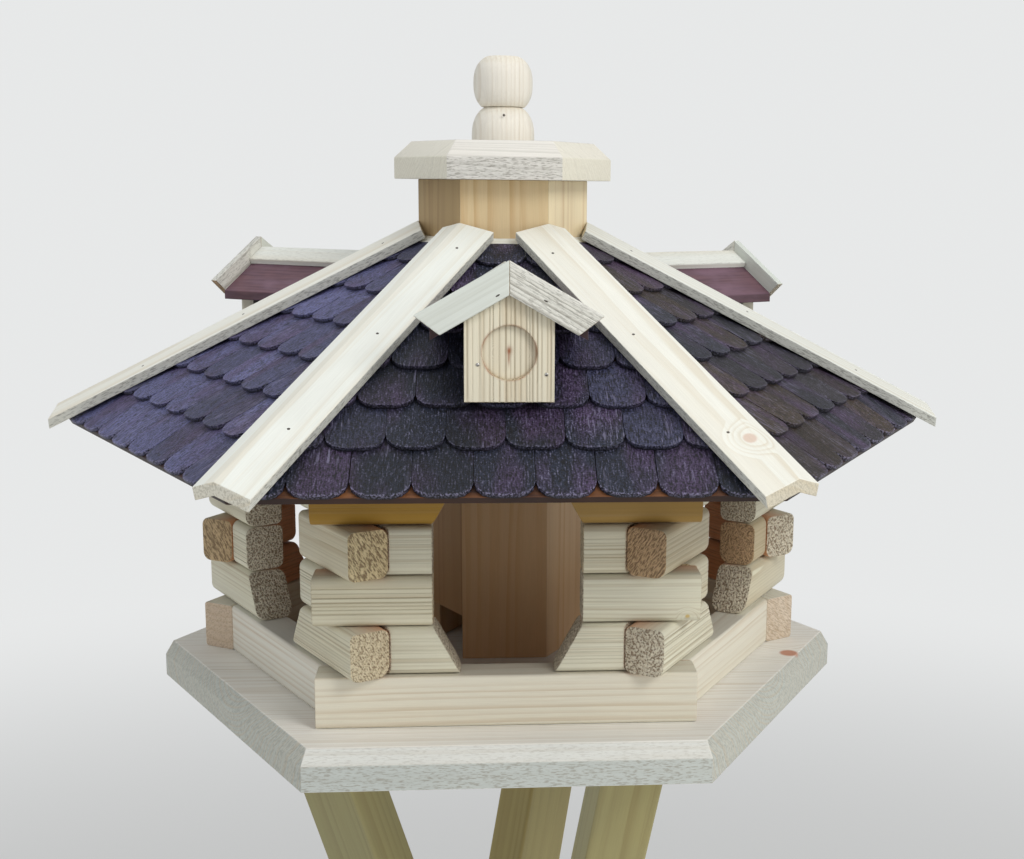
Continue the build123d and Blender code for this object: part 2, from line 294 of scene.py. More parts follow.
@dataclass(frozen=True)
class Softwood:
    """Pale sawn or planed softwood whose growth rings run through the whole board.

    The attribute grain holds a point's place in its board, measured from the tree's heart: along the grain,
    across it and through it. Rings are cylinders about the heart, bent by slow noise and unevenly spaced.
    The attribute tone is a board's own tint. A second gives its share of the stained colour, which is real
    staining and in places painted light, and a third darkens its grooves with grime and painted groove shade.
    """

    name: str
    early: Colour = srgb(222, 206, 174)
    warm: Colour = srgb(208, 178, 118)
    late: Colour = srgb(160, 124, 82)
    end: Colour = srgb(214, 205, 184)
    end_warm: Colour = srgb(220, 202, 160)
    end_dark: Colour = srgb(196, 162, 124)
    pore: Colour = srgb(124, 100, 70)
    grey: Colour = srgb(196, 196, 186)
    stained: Colour = srgb(150, 96, 58)
    # Colour of raised hairs, and of the grooves' grime and painted shade
    shade_and_dirt: Colour = srgb(112, 92, 60)
    knot: Colour = srgb(168, 104, 62)
    ring_spacing: float = 3.2 * MM
    ring_contrast: float = 0.5
    end_rings: float = 0.25
    end_lines: float = 0.7
    fuzz: float = 0.0
    hair: float = 0.0
    streaks: float = 0.25
    wander: float = 4.0 * MM
    tone_share: float = 0.6
    grey_share: float = 0.25
    edge_grey: float = 0.3
    knots: tuple[tuple[float, float, float, float], ...] = ()
    fibre_depth: float = 0.08 * MM
    end_depth: float = 0.7 * MM
    roughness: float = 0.6

    def knot_shares(self, shader: Shader) -> tuple[Value | float, Value | float]:
        """How far the rings bend round the nearest knot, and how far a point lies inside it.

        Both fall with the distance over the knot's radius. Knots lie at fixed places of the object.

        Args:
            shader: the tree.

        Returns:
            The two shares from 0 to 1.
        """
        if not self.knots:
            return 0.0, 0.0
        place, near = shader.place(), []
        for x, y, z, radius in self.knots:
            apart = shader.node("ShaderNodeVectorMath", {"operation": "DISTANCE"}, {0: place, 1: (x, y, z)})
            near.append(Value(shader, apart.outputs["Value"]) / radius)
        nearest = reduce(lambda one, other: shader.math("MINIMUM", one, other), near)
        return 1 - nearest.rise(0.8, 4.5), 1 - nearest.rise(0.7, 1.15)

    def build(self) -> bpy.types.Material:
        """Makes the material.

        Returns:
            The finished material.
        """
        shader = Shader(bpy.data.materials.new(self.name))
        grain = shader.vector("grain")
        apart = shader.node("ShaderNodeSeparateXYZ", {}, {0: grain})
        along, across, through = (Value(shader, apart.outputs[axis]) for axis in range(3))
        tone, stain, shade_and_dirt = shader.number("tone"), shader.number("stain"), shader.number("shade_and_dirt")
        end, edge = shader.number("end_grain").rise(0.45, 0.75), shader.number("sawn_edge").rise(0.35, 0.8)
        swirl, core = self.knot_shares(shader)

        slow, small = shader.noise(grain, (3, 20, 20)), shader.noise(grain, (12, 170, 170))
        radius = ((across * across + through * through) ** 0.5 + (slow - 0.5) * (2 * self.wander)
                  + (small - 0.5) * (0.25 * self.ring_spacing) + swirl * (2.5 * self.ring_spacing))
        count = radius / self.ring_spacing + shader.line_noise(radius * (0.45 / self.ring_spacing)) * 1.4
        phase, each = count.fraction(), shader.chance(shader.math("FLOOR", count))
        late = phase.rise(0.35, 0.93) * (1 - phase.rise(0.95, 1.0))
        uneven = shader.noise(grain, (5, 45, 45)).rise(0.25, 0.65)
        fibres, streaks = shader.noise(grain, (55, 1500, 1500), 3.0), shader.noise(grain, (7, 330, 330), 3.0)
        clouds = shader.noise(grain, (9, 22, 22), 3.0)

        rings = late * (each * 0.75 + 0.25) * (uneven * 0.7 + 0.3) * self.ring_contrast
        warmth = tone ** 3.0 * self.tone_share
        colour = shader.mix(warmth, self.early, self.warm)
        colour = shader.mix(rings, colour, self.late)
        colour = shader.mix(streaks.rise(0.5, 0.8) * self.streaks, colour, self.late)
        colour = shader.mix(clouds.rise(0.35, 0.75) * (1 - warmth) * self.grey_share, colour, self.grey)
        colour = shader.mix(edge * (1 - end) * self.edge_grey, colour, self.grey)

        slanted = shader.node("ShaderNodeCombineXYZ", {}, {
            0: along, 1: across * 0.85 + through * 0.53, 2: through * 0.85 - across * 0.53}).outputs[0]
        speck, stroke = shader.noise(grain, (260, 900, 900), 3.0), shader.noise(slanted, (260, 1150, 330), 3.0)
        slant = tone.rise(0.3, 0.6) * (1 - tone.rise(0.7, 0.8) * 0.6)
        sawn = speck * (1 - slant) + stroke * slant
        cut = shader.mix(tone.rise(0.6, 0.72), shader.mix(slant, self.end, self.end_warm), self.end_dark)
        cut = shader.mix(late * self.end_rings, cut, self.late)
        cut = shader.mix((1 - sawn.rise(0.38, 0.55)) * self.end_lines, cut, self.pore)
        hairs = shader.noise(grain, (300, 1700, 1700), 3.0)
        colour = shader.mix(hairs.rise(0.5, 0.64) * (edge * self.fuzz + self.hair), colour, self.shade_and_dirt)
        # The stained colour: real staining, on inner faces painted warm bounce light, at the gables' recess rim
        # painted shade
        colour = shader.mix(stain, colour, self.stained)
        colour = shader.mix(end * 0.95, colour, cut)
        colour = shader.mix(core * 0.8, colour, self.knot)
        # Grooves darkened: grime and painted shade
        colour = shader.mix(shade_and_dirt * (uneven * 0.4 + 0.4) * (1 - end), colour, self.shade_and_dirt)
        colour = shader.scaled(colour, (shader.chance(tone * 999.0) * 0.12 + 0.92) * (fibres * 0.16 + 0.92))

        height = ((1 - end) * (fibres * 0.5 + late * 0.3 + streaks * 0.5) * self.fibre_depth
                  + edge * (1 - end) * hairs * (2 * self.fibre_depth) + end * sawn.rise(0.3, 0.7) * self.end_depth)
        rough = end * 0.2 + fibres * 0.12 + (self.roughness - 0.06)
        return shader.finish(colour, rough, height)


@dataclass(frozen=True)
class StainedShingle:
    """Rough brushed shingles stained dark purple brown, the staining thinned by wear at the tips, where a highlight
    is also painted.

    The attribute tone runs from a bluish to a brownish tint: painted sky reflection on the left slopes and painted
    sunlight on the right ones, with a random tint for each shingle. Its lower rim is lightened by wear and a
    painted highlight, and its underside and the foot of its rim are blackened as painted shadow.
    """

    name: str = "stained_shingle"
    blue: Colour = srgb(96, 98, 142)
    deep: Colour = srgb(30, 36, 52)
    brown: Colour = srgb(60, 48, 34)
    purple: Colour = srgb(80, 60, 94)
    black: Colour = srgb(10, 9, 13)
    lilac: Colour = srgb(146, 142, 172)
    grit_depth: float = 0.5 * MM
    brush_depth: float = 0.45 * MM
    roughness: float = 0.5

    def build(self) -> bpy.types.Material:
        """Makes the material.

        Returns:
            The finished material.
        """
        shader = Shader(bpy.data.materials.new(self.name))
        grain = shader.vector("grain")
        tone, rim = shader.number("tone"), shader.number("stain")
        grit, brush = shader.noise(grain, (800, 1000, 1000), 3.0), shader.noise(grain, (190, 1250, 1250), 3.0)
        patch, wear_and_highlight = shader.noise(grain, (16, 34, 34), 2.0), shader.noise(grain, (24, 30, 30), 2.0)
        rough = grit * 0.5 + brush * 0.5
        # Blue for low tones and brown for high ones: by slope, painted sky reflection and painted sunlight
        colour = shader.mix(tone.rise(0.08, 0.5), self.blue, self.deep)
        colour = shader.mix(tone.rise(0.6, 1.0), colour, self.brown)
        colour = shader.mix(patch.rise(0.44, 0.66) * 0.65, colour, self.purple)
        # Black in the grit's hollows and lilac on its peaks: the shingles' speckle with painted shade and painted
        # glints
        colour = shader.mix((1 - rough.rise(0.42, 0.53)) * 0.9, colour, self.black)
        colour = shader.mix(rough.rise(0.54, 0.66) * 0.4, colour, self.lilac)
        colour = shader.scaled(colour, shader.chance(tone * 999.0) * 0.7 + 0.55)
        scratches = shader.noise(grain, (45, 900, 900), 2.0)
        colour = shader.mix(scratches.rise(0.56, 0.66) * wear_and_highlight.rise(0.54, 0.62) * 0.4, colour, self.lilac)
        # Lilac speckle on the lower rim: wear and a painted highlight
        colour = shader.mix(rim * grit.rise(0.44, 0.6) * 0.6, colour, self.lilac)
        # Near black on the underside and the rim's foot: painted shadow
        colour = shader.mix(shader.number("shade_and_dirt"), colour, self.black)
        return shader.finish(colour, grit * 0.25 + (self.roughness - 0.1),
                             grit * self.grit_depth + brush * self.brush_depth)


@dataclass(frozen=True)
class StainedBoard:
    """A thin board stained reddish brown, darker along its grain, and nearly black on its edges as painted shade.
    """

    name: str
    light: Colour = srgb(122, 76, 38)
    dark: Colour = srgb(52, 30, 24)
    edge: Colour = srgb(40, 25, 21)
    bloom: Colour = srgb(140, 108, 124)
    bloom_share: float = 0.0
    fibre_depth: float = 0.06 * MM
    roughness: float = 0.55

    def build(self) -> bpy.types.Material:
        """Makes the material.

        Returns:
            The finished material.
        """
        shader = Shader(bpy.data.materials.new(self.name))
        grain = shader.vector("grain")
        fibres, bands = shader.noise(grain, (30, 480, 480), 4.0), shader.noise(grain, (28, 60, 60), 4.0)
        colour = shader.mix((bands * 0.6 + fibres * 0.4).rise(0.32, 0.68), self.light, self.dark)
        colour = shader.mix(bands.rise(0.4, 0.7) * self.bloom_share, colour, self.bloom)
        # Near black on the narrow edges: painted shade
        colour = shader.mix(shader.number("sawn_edge").rise(0.35, 0.7) * 0.85, colour, self.edge)
        colour = shader.scaled(colour, fibres * 0.3 + 0.85)
        return shader.finish(colour, fibres * 0.15 + (self.roughness - 0.05), fibres * self.fibre_depth)


@dataclass(frozen=True)
class NailSteel:
    """The plain steel of small nail heads, dulled in places."""

    name: str = "nail_steel"
    bright: Colour = srgb(206, 204, 200)
    dull: Colour = srgb(96, 90, 84)
    pit_depth: float = 0.02 * MM

    def build(self) -> bpy.types.Material:
        """Makes the material.

        Returns:
            The finished material.
        """
        shader = Shader(bpy.data.materials.new(self.name))
        spots = shader.noise(shader.place(), (900, 900, 900))
        return shader.finish(shader.mix(spots.rise(0.4, 0.7), self.bright, self.dull), spots * 0.3 + 0.25,
                             spots * self.pit_depth, metallic=1.0)


# Meshes


def facing_out(points: Array, faces: Faces) -> Faces:
    """The faces of a closed skin, turned round where they point inwards.

    Each face is a fan of triangles, and the signed volumes between them and the origin are summed. The sum is
    negative where the faces point inwards.

    Args:
        points: positions, one a row.
        faces: each face's point numbers.

    Returns:
        The faces, which point outwards.
    """
    volume = 0.0
    for face in faces:
        first, rest = points[face[0]], points[face[1:]]
        volume += float((np.cross(rest[:-1], rest[1:]) @ first).sum())
    return faces if volume >= 0 else [face[::-1] for face in faces]


def loft(rings: Array) -> tuple[Array, Faces]:
    """A closed skin over rings of points: four-sided faces between neighbours and a flat face on both ends.

    Args:
        rings: array of rings by points by three.

    Returns:
        The points and the faces, which point outwards.
    """
    index = np.arange(rings.shape[0] * rings.shape[1]).reshape(rings.shape[:2])
    beside = np.roll(index, -1, axis=1)
    faces = np.stack([index[:-1], beside[:-1], beside[1:], index[1:]], axis=-1).reshape(-1, 4).tolist()
    faces += [index[0, ::-1].tolist(), index[-1].tolist()]
    points = rings.reshape(-1, 3)
    return points, facing_out(points, faces)


def rounded_end_rings(outline: Array, rounding: float, place: Callable[[Array, float, float], Array],
                      steps: int = 3) -> Array:
    """Rings of a straight bar whose outline shrinks on a quarter circle towards both ends.

    Args:
        outline: the section's points, two columns.
        rounding: radius of the edge at the ends.
        place: gives a ring's points from its outline, its end, 0 or 1, and its distance in from that end.
        steps: rings in each quarter circle.

    Returns:
        Array of rings by points by three.
    """
    middle, half = (outline.max(0) + outline.min(0)) / 2, (outline.max(0) - outline.min(0)) / 2
    angles = np.linspace(0, math.pi / 2, steps)
    shrink, inwards = rounding * (1 - np.sin(angles)), rounding * (1 - np.cos(angles))
    near, far = ([place(middle + (outline - middle) * (1 - s / half), end, d) for s, d in zip(shrink, inwards)]
                 for end in (0, 1))
    return np.array(near + far[::-1])


def from_heart(points: Array, random: np.random.Generator, reach: tuple[float, float] = (18 * MM, 70 * MM),
               heart: tuple[float, float] | None = None) -> Array:
    """Board coordinates shifted so that they are measured from the tree's heart.

    Args:
        points: place in the board: along, across and through.
        random: source of the draws.
        reach: how near and how far a random heart may lie from the board's middle.
        heart: the heart's place across and through the board, or None for a random one.

    Returns:
        The shifted coordinates.
    """
    if heart is None:
        angle, distance = random.uniform(0, 2 * math.pi), random.uniform(*reach)
        heart = (distance * math.cos(angle), distance * math.sin(angle))
    return points + np.array([random.uniform(0, TRUNK_LENGTH), *heart])


def inner_wood_and_bounce(apothem: Array) -> Array:
    """Share of the warmer inner colour, fresher wood and painted warm bounce light: it rises as a square from the
    walls' outer face to their inner one.
    """
    return np.clip((WALL_APOTHEM - apothem) / LOG_THICKNESS, 0, 1) ** 2 * 0.85


@dataclass
class Board:
    """One wooden piece: a closed skin, and what its finish reads at each of its points.

    Grain is a point's place in the board, measured from the tree's heart. One share says how far the point is
    stained or wearing, in places as painted light, and the other how deep it lies in a dark groove or under a
    shingle, as grime and painted shade, both from 0 to 1.
    """

    points: Array
    faces: Faces
    grain: Array
    stain: Array | float = 0.0
    shade_and_dirt: Array | float = 0.0


@dataclass
class Boards:
    """Wooden pieces that are gathered into one mesh, each with its own grain and tone."""

    pieces: list[dict[str, Array]] = field(default_factory=list)
    faces: Faces = field(default_factory=list)

    def add(self, board: Board, tone: float, along: Array, flat: Array, side: int = 0) -> None:
        """Adds one board, which is described on side 0.

        Args:
            board: the board.
            tone: its tint from 0 to 1.
            along: the grain's direction.
            flat: the direction that its broad face looks in.
            side: the side of the house that it is turned to.
        """
        start = sum(len(piece["points"]) for piece in self.pieces)
        self.faces += [[index + start for index in face] for face in board.faces]
        level, rows = np.zeros(len(board.points)), (len(board.faces), 1)
        self.pieces.append({
            "points": turned(board.points, side), "grain": board.grain, "tone": level + tone,
            "stain": level + board.stain, "shade_and_dirt": level + board.shade_and_dirt,
            "along": np.tile(turned(along, side), rows), "flat": np.tile(turned(flat, side), rows)})

    def make(self, name: str, material: bpy.types.Material, body: str, slot: str, *nodes: str,
             smooth_angle: float = 38.0) -> None:
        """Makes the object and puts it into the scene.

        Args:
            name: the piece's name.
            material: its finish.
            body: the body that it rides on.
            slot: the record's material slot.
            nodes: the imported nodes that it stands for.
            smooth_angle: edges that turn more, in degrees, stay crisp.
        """
        joined = {key: np.concatenate([piece[key] for piece in self.pieces]) for key in self.pieces[0]}
        mesh = bpy.data.meshes.new(name)
        mesh.from_pydata(joined["points"], [], self.faces)
        mesh.update()
        for key in ("grain", "tone", "stain", "shade_and_dirt"):
            fill_attribute(mesh, key, joined[key])
        mark_faces(mesh, joined["along"], joined["flat"])
        place_piece(mesh, name, material, body, slot, *nodes, smooth_angle=smooth_angle)


def fill_attribute(mesh: bpy.types.Mesh, name: str, values: Array, domain: str = "POINT") -> None:
    """Writes an attribute of numbers or vectors to a mesh.

    Args:
        mesh: the mesh.
        name: the attribute's name.
        values: one number or one vector for each element.
        domain: the kind of element.
    """
    vectors = values.ndim == 2
    attribute = mesh.attributes.new(name, "FLOAT_VECTOR" if vectors else "FLOAT", domain)
    attribute.data.foreach_set("vector" if vectors else "value", values.astype(np.float32).ravel())


def mesh_rows(items: bpy.types.bpy_prop_collection, name: str, width: int, kind: type = np.float64) -> Array:
    """One property of all of a mesh's vertices, edges or faces.

    Args:
        items: the vertices, edges or faces.
        name: the property.
        width: how many numbers it has.
        kind: the numbers' type.

    Returns:
        The property of each, one a row.
    """
    values = np.zeros(len(items) * width, dtype=kind)
    items.foreach_get(name, values)
    return values.reshape(-1, width)


def mark_faces(mesh: bpy.types.Mesh, along: Array, flat: Array) -> None:
    """Marks the faces that cut across the grain and those on a board's narrow edges.

    Args:
        mesh: the mesh.
        along: each face's grain direction.
        flat: each face's broad direction.
    """
    normals = mesh_rows(mesh.polygons, "normal", 3)
    fill_attribute(mesh, "end_grain", np.abs(np.einsum("ij,ij->i", normals, along)), "FACE")
    fill_attribute(mesh, "sawn_edge", 1 - np.abs(np.einsum("ij,ij->i", normals, flat)), "FACE")


def place_piece(mesh: bpy.types.Mesh, name: str, material: bpy.types.Material, body: str, slot: str,
                *nodes: str, smooth_angle: float = 20.0) -> None:
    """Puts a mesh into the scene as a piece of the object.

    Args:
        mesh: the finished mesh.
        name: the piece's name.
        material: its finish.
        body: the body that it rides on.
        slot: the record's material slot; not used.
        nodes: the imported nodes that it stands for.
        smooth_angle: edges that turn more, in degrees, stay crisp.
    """
    mesh.shade_smooth()
    mesh.set_sharp_from_angle(angle=math.radians(smooth_angle))
    mesh.materials.clear()
    mesh.materials.append(material)
    piece = bpy.data.objects.new(name, mesh)
    bpy.context.scene.collection.objects.link(piece)
    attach(piece, body)
    if nodes:
        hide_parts(*nodes)
    LOG.info("%s: %d faces on %s", name, len(mesh.polygons), body)


def connected(count: int, edges: Array) -> Array:
    """The number of the connected group that each point belongs to.

    The smallest point number spreads along the edges until nothing changes.

    Args:
        count: how many points there are.
        edges: pairs of point numbers.

    Returns:
        One label a point, counted from 0.
    """
    labels = np.arange(count)
    while True:
        before = labels.copy()
        least = np.minimum(labels[edges[:, 0]], labels[edges[:, 1]])
        np.minimum.at(labels, edges[:, 0], least)
        np.minimum.at(labels, edges[:, 1], least)
        labels = labels[labels]
        if np.array_equal(before, labels):
            return np.unique(labels, return_inverse=True)[1]


@dataclass
class PlanedBoards:
    """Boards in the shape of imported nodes, with slightly broken edges and a grain of their own."""

    random: np.random.Generator
    edge_break: float = 0.5 * MM
    flat_limit: float = 0.4
    crisp_limit: float = 18.0
    broad_limit: float = 0.4

    def skin(self, node: str) -> bpy.types.Mesh:
        """A merged copy of a node's mesh, its flat faces whole and its edges broken.

        Args:
            node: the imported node.

        Returns:
            The new mesh.
        """
        made = bmesh.new()
        made.from_mesh(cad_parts[node].data)
        bmesh.ops.remove_doubles(made, verts=made.verts, dist=1e-6)
        bmesh.ops.dissolve_limit(made, angle_limit=math.radians(self.flat_limit), verts=made.verts,
                                 edges=made.edges)
        limit = math.radians(self.crisp_limit)
        crisp = [e for e in made.edges if e.is_manifold and e.calc_face_angle(0) > limit]
        bmesh.ops.bevel(made, geom=crisp, offset=self.edge_break, segments=2, profile=0.5, affect="EDGES",
                        clamp_overlap=True)
        mesh = bpy.data.meshes.new(node)
        made.to_mesh(mesh)
        made.free()
        return mesh

    def dress(self, node: str, name: str, material: bpy.types.Material, body: str, slot: str,
              grain: Grain = Grain.LONGEST_EDGE, heart: tuple[float, float] | None = None,
              stain: Callable[[Array], Array] | None = None, tones: tuple[float, float] = (0.0, 1.0)) -> None:
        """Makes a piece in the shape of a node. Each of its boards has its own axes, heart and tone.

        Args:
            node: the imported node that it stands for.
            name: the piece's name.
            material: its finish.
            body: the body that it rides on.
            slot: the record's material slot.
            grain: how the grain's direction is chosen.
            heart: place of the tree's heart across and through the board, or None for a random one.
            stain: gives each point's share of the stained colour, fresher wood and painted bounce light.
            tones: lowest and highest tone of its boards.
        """
        mesh = self.skin(node)
        points, edges = mesh_rows(mesh.vertices, "co", 3), mesh_rows(mesh.edges, "vertices", 2, np.int32)
        normals, areas = mesh_rows(mesh.polygons, "normal", 3), mesh_rows(mesh.polygons, "area", 1)[:, 0]
        labels = connected(len(points), edges)
        face_labels = labels[np.array([face.vertices[0] for face in mesh.polygons])]
        place, tone = np.zeros_like(points), np.zeros(len(points))
        along_of, flat_of = np.zeros_like(normals), np.zeros_like(normals)
        for label in range(labels.max() + 1):
            own, own_faces = labels == label, face_labels == label
            along = self.grain_direction(points, edges[own[edges[:, 0]]], grain)
            broad = np.where(np.abs(normals @ along) < self.broad_limit, areas, 0) * own_faces
            flat = normals[np.argmax(broad)]
            axes = np.stack([along, np.cross(flat, along), flat])
            place[own] = from_heart((points[own] - points[own].mean(0)) @ axes.T, self.random, heart=heart)
            tone[own] = self.random.uniform(*tones)
            along_of[own_faces], flat_of[own_faces] = along, flat
        fill_attribute(mesh, "grain", place)
        fill_attribute(mesh, "tone", tone)
        if stain is not None:
            fill_attribute(mesh, "stain", stain(points))
        mark_faces(mesh, along_of, flat_of)
        place_piece(mesh, name, material, body, slot, node)

    @staticmethod
    def grain_direction(points: Array, edges: Array, grain: Grain) -> Array:
        """The unit vector along a board's grain.

        Args:
            points: every point's place.
            edges: the board's own edges.
            grain: how the direction is chosen.

        Returns:
            The direction.
        """
        if grain is Grain.ALONG_X:
            return RIGHT
        if grain is Grain.UPRIGHT:
            return UP
        spans = points[edges[:, 1]] - points[edges[:, 0]]
        lengths = np.linalg.norm(spans, axis=1)
        longest = np.argmax(lengths)
        return spans[longest] / lengths[longest]


# The log walls


@dataclass
class LogWalls:
    """The four courses of short ribbed logs on both sides of the windows."""

    material: bpy.types.Material
    random: np.random.Generator
    apothem: float = WALL_APOTHEM
    thickness: float = LOG_THICKNESS
    corner_radius: float = 4.5 * MM
    overhang: float = 0.4 * MM
    window_half: float = 40.9 * MM
    window_foot_half: float = 25.5 * MM
    courses: int = 4
    seam: float = 0.25 * MM
    rib_step: float = 0.25 * MM
    rib_pitch: tuple[float, float] = (1.4 * MM, 3.2 * MM)
    rib_width: tuple[float, float] = (0.2 * MM, 0.42 * MM)
    groove_shade_and_dirt_depth: float = 0.6 * MM
    end_rounding: float = 0.9 * MM
    uneven_length: float = 0.8 * MM
    sunk: tuple[float, float] = (0.05 * MM, 0.45 * MM)
    heart_reach: tuple[float, float] = (14 * MM, 60 * MM)
    # The tone and the deepest groove, in millimetres, of single logs, by their course, side and hand
    # The top course's tones near 1 give it the dark warm colour: yellow wood with painted eave shade
    known: dict[tuple[int, int, int], tuple[float, float]] = field(default_factory=lambda: {
        (4, 0, -1): (1.0, 0.1), (4, 0, 1): (0.98, 0.05), (3, 0, -1): (0.15, 0.2), (3, 0, 1): (0.45, 0.2),
        (2, 0, -1): (0.45, 0.6), (2, 0, 1): (0.0, 0.05), (1, 0, -1): (0.3, 0.2), (1, 0, 1): (0.35, 0.25),
        (3, 1, -1): (0.7, 0.15), (2, 1, -1): (0.6, 0.3), (1, 1, -1): (0.1, 0.45), (2, 1, 1): (0.8, 0.1),
        (3, 5, 1): (0.6, 0.1), (1, 5, 1): (0.45, 0.3)})

    def ribs(self, heights: Array, span: float, depth: float) -> Array:
        """Depth of the planed grooves: a sum of narrow bells at uneven steps up the face.

        Args:
            heights: places up the face.
            span: the face's whole height.
            depth: the deepest groove.

        Returns:
            The depth at each place.
        """
        steps = self.random.uniform(*self.rib_pitch, size=20)
        middles = np.cumsum(steps) - steps[0] / 2
        middles = middles[middles < span]
        widths = self.random.uniform(*self.rib_width, size=len(middles))
        depths = depth * self.random.uniform(0.45, 1.0, size=len(middles))
        bells = np.exp(-((heights[:, None] - middles) / widths) ** 2)
        return (bells * depths).sum(1)

    def outline(self, height: float, rib_depth: float) -> tuple[Array, Array]:
        """A log's section: a rectangle with round corners and grooves in its two upright faces.

        Args:
            height: the log's height.
            rib_depth: depth of the deepest groove.

        Returns:
            Points of depth behind the outer face and height over the underside, anticlockwise, and how deep
            each lies in a groove, from 0 to 1.
        """
        low_near, low_far = self.corner_radius * self.random.uniform(0.9, 1.7, size=2)
        top_near, top_far = self.corner_radius * self.random.uniform(0.7, 1.15, size=2)
        quarter = np.linspace(0, math.pi / 2, 7)

        def corner(radius: float, left: bool, low: bool, start: float) -> Array:
            """A quarter circle at one of the section's corners."""
            middle = (radius if left else self.thickness - radius, radius if low else height - radius)
            return np.stack([middle[0] + radius * np.cos(quarter + start),
                             middle[1] + radius * np.sin(quarter + start)], axis=1)

        def face(low: float, high: float) -> tuple[Array, Array]:
            """Heights up an upright face between its corners, and the depth of the grooves there."""
            rise = np.arange(low, height - high, self.rib_step)[1:]
            return rise, self.ribs(rise, height, rib_depth)

        inner_rise, inner_rib = face(low_far, top_far)
        outer_rise, outer_rib = face(low_near, top_near)
        corners = [corner(low_far, False, True, -math.pi / 2), corner(top_far, False, False, 0.0),
                   corner(top_near, True, False, math.pi / 2), corner(low_near, True, True, math.pi)]
        inner = np.stack([self.thickness - inner_rib, inner_rise], axis=1)
        outer = np.stack([outer_rib, outer_rise], axis=1)[::-1]
        level = np.zeros(len(quarter))
        section = np.concatenate([corners[0], inner, corners[1], corners[2], outer, corners[3]])
        groove = np.concatenate([level, inner_rib, level, level, outer_rib[::-1], level])
        return section, np.clip(groove / self.groove_shade_and_dirt_depth, 0, 1) ** 0.7

    def log(self, number: int, side: int, hand: int, low: float, height: float, rib_depth: float) -> Board:
        """One log between its corner and a window.

        Args:
            number: the course, counted from 1.
            side: the side of the house.
            hand: -1 for the log on the left of the window, 1 for the one on its right.
            low: height of its underside.
            height: its own height.
            rib_depth: depth of its deepest groove.

        Returns:
            The log on side 0, its grooves darkened by grime and painted shade, and its inner faces given the warmer
            colour of fresher wood and painted bounce light.
        """
        through = (number + side) % 2 == 0
        outer_end = ((self.apothem + self.thickness) * MITRE + self.overhang
                     - self.random.uniform(0, self.uneven_length))
        sunk = self.random.uniform(*self.sunk)

        def window_end(rise: Array) -> Array:
            """Where the log ends at the window, which narrows in the lowest and the highest course.

            Args:
                rise: heights over the log's underside.

            Returns:
                The distance from the side's middle at each height.
            """
            share = rise / height
            if number == 1:
                return self.window_foot_half + (self.window_half - self.window_foot_half) * share
            if number == self.courses:
                return self.window_half - (self.window_half - self.window_foot_half) * share
            return np.full_like(rise, self.window_half)

        def corner_end(depth: Array) -> Array:
            """Where the log ends at the corner: beyond the next wall, or cut to that wall's inner face.

            Args:
                depth: depths behind the outer face.

            Returns:
                The distance from the side's middle at each depth.
            """
            if through:
                return np.full_like(depth, outer_end)
            return (self.apothem - self.thickness) / math.cos(SIXTH / 2) - (self.apothem - depth) * MITRE

        def place(section: Array, end: int, inwards: float) -> Array:
            """A ring of the log's points.

            Args:
                section: depth behind the outer face and height over the underside.
                end: 0 at the window, 1 at the corner.
                inwards: distance in from that end.

            Returns:
                The points on side 0.
            """
            reach = corner_end(section[:, 0]) - inwards if end else window_end(section[:, 1]) + inwards
            behind = np.maximum(section[:, 0], 0) * (1 - 2 * sunk / self.thickness) + sunk
            return np.stack([hand * reach, -self.apothem + behind, low + self.seam + section[:, 1]], axis=1)

        section, groove = self.outline(height - 2 * self.seam, rib_depth)
        rings = rounded_end_rings(section, self.end_rounding, place)
        points, faces = loft(rings)
        grain = from_heart(points - points.mean(0), self.random, self.heart_reach)
        return Board(points, faces, grain, inner_wood_and_bounce(-points[:, 1]), np.tile(groove, len(rings)))

    def build(self) -> None:
        """Makes every course's two sets of logs."""
        for number in range(1, self.courses + 1):
            for start, way in ((number % 2, "through"), ((number + 1) % 2, "between")):
                node = f"logs_course_{number}_{way}"
                low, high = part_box(node)
                boards = Boards()
                for side in range(start, SIDES, 2):
                    for hand in (-1, 1):
                        tone, ribs = self.random.uniform(0, 0.8), self.random.choice([0.1, 0.2, 0.4])
                        tone, ribs = self.known.get((number, side, hand), (tone, ribs))
                        log = self.log(number, side, hand, low.z, high.z - low.z, ribs * MM)
                        boards.add(log, tone, RIGHT, FRONT, side)
                boards.make(f"ribbed_{node}", self.material, HOUSE, "wall_log", node)


# The roof


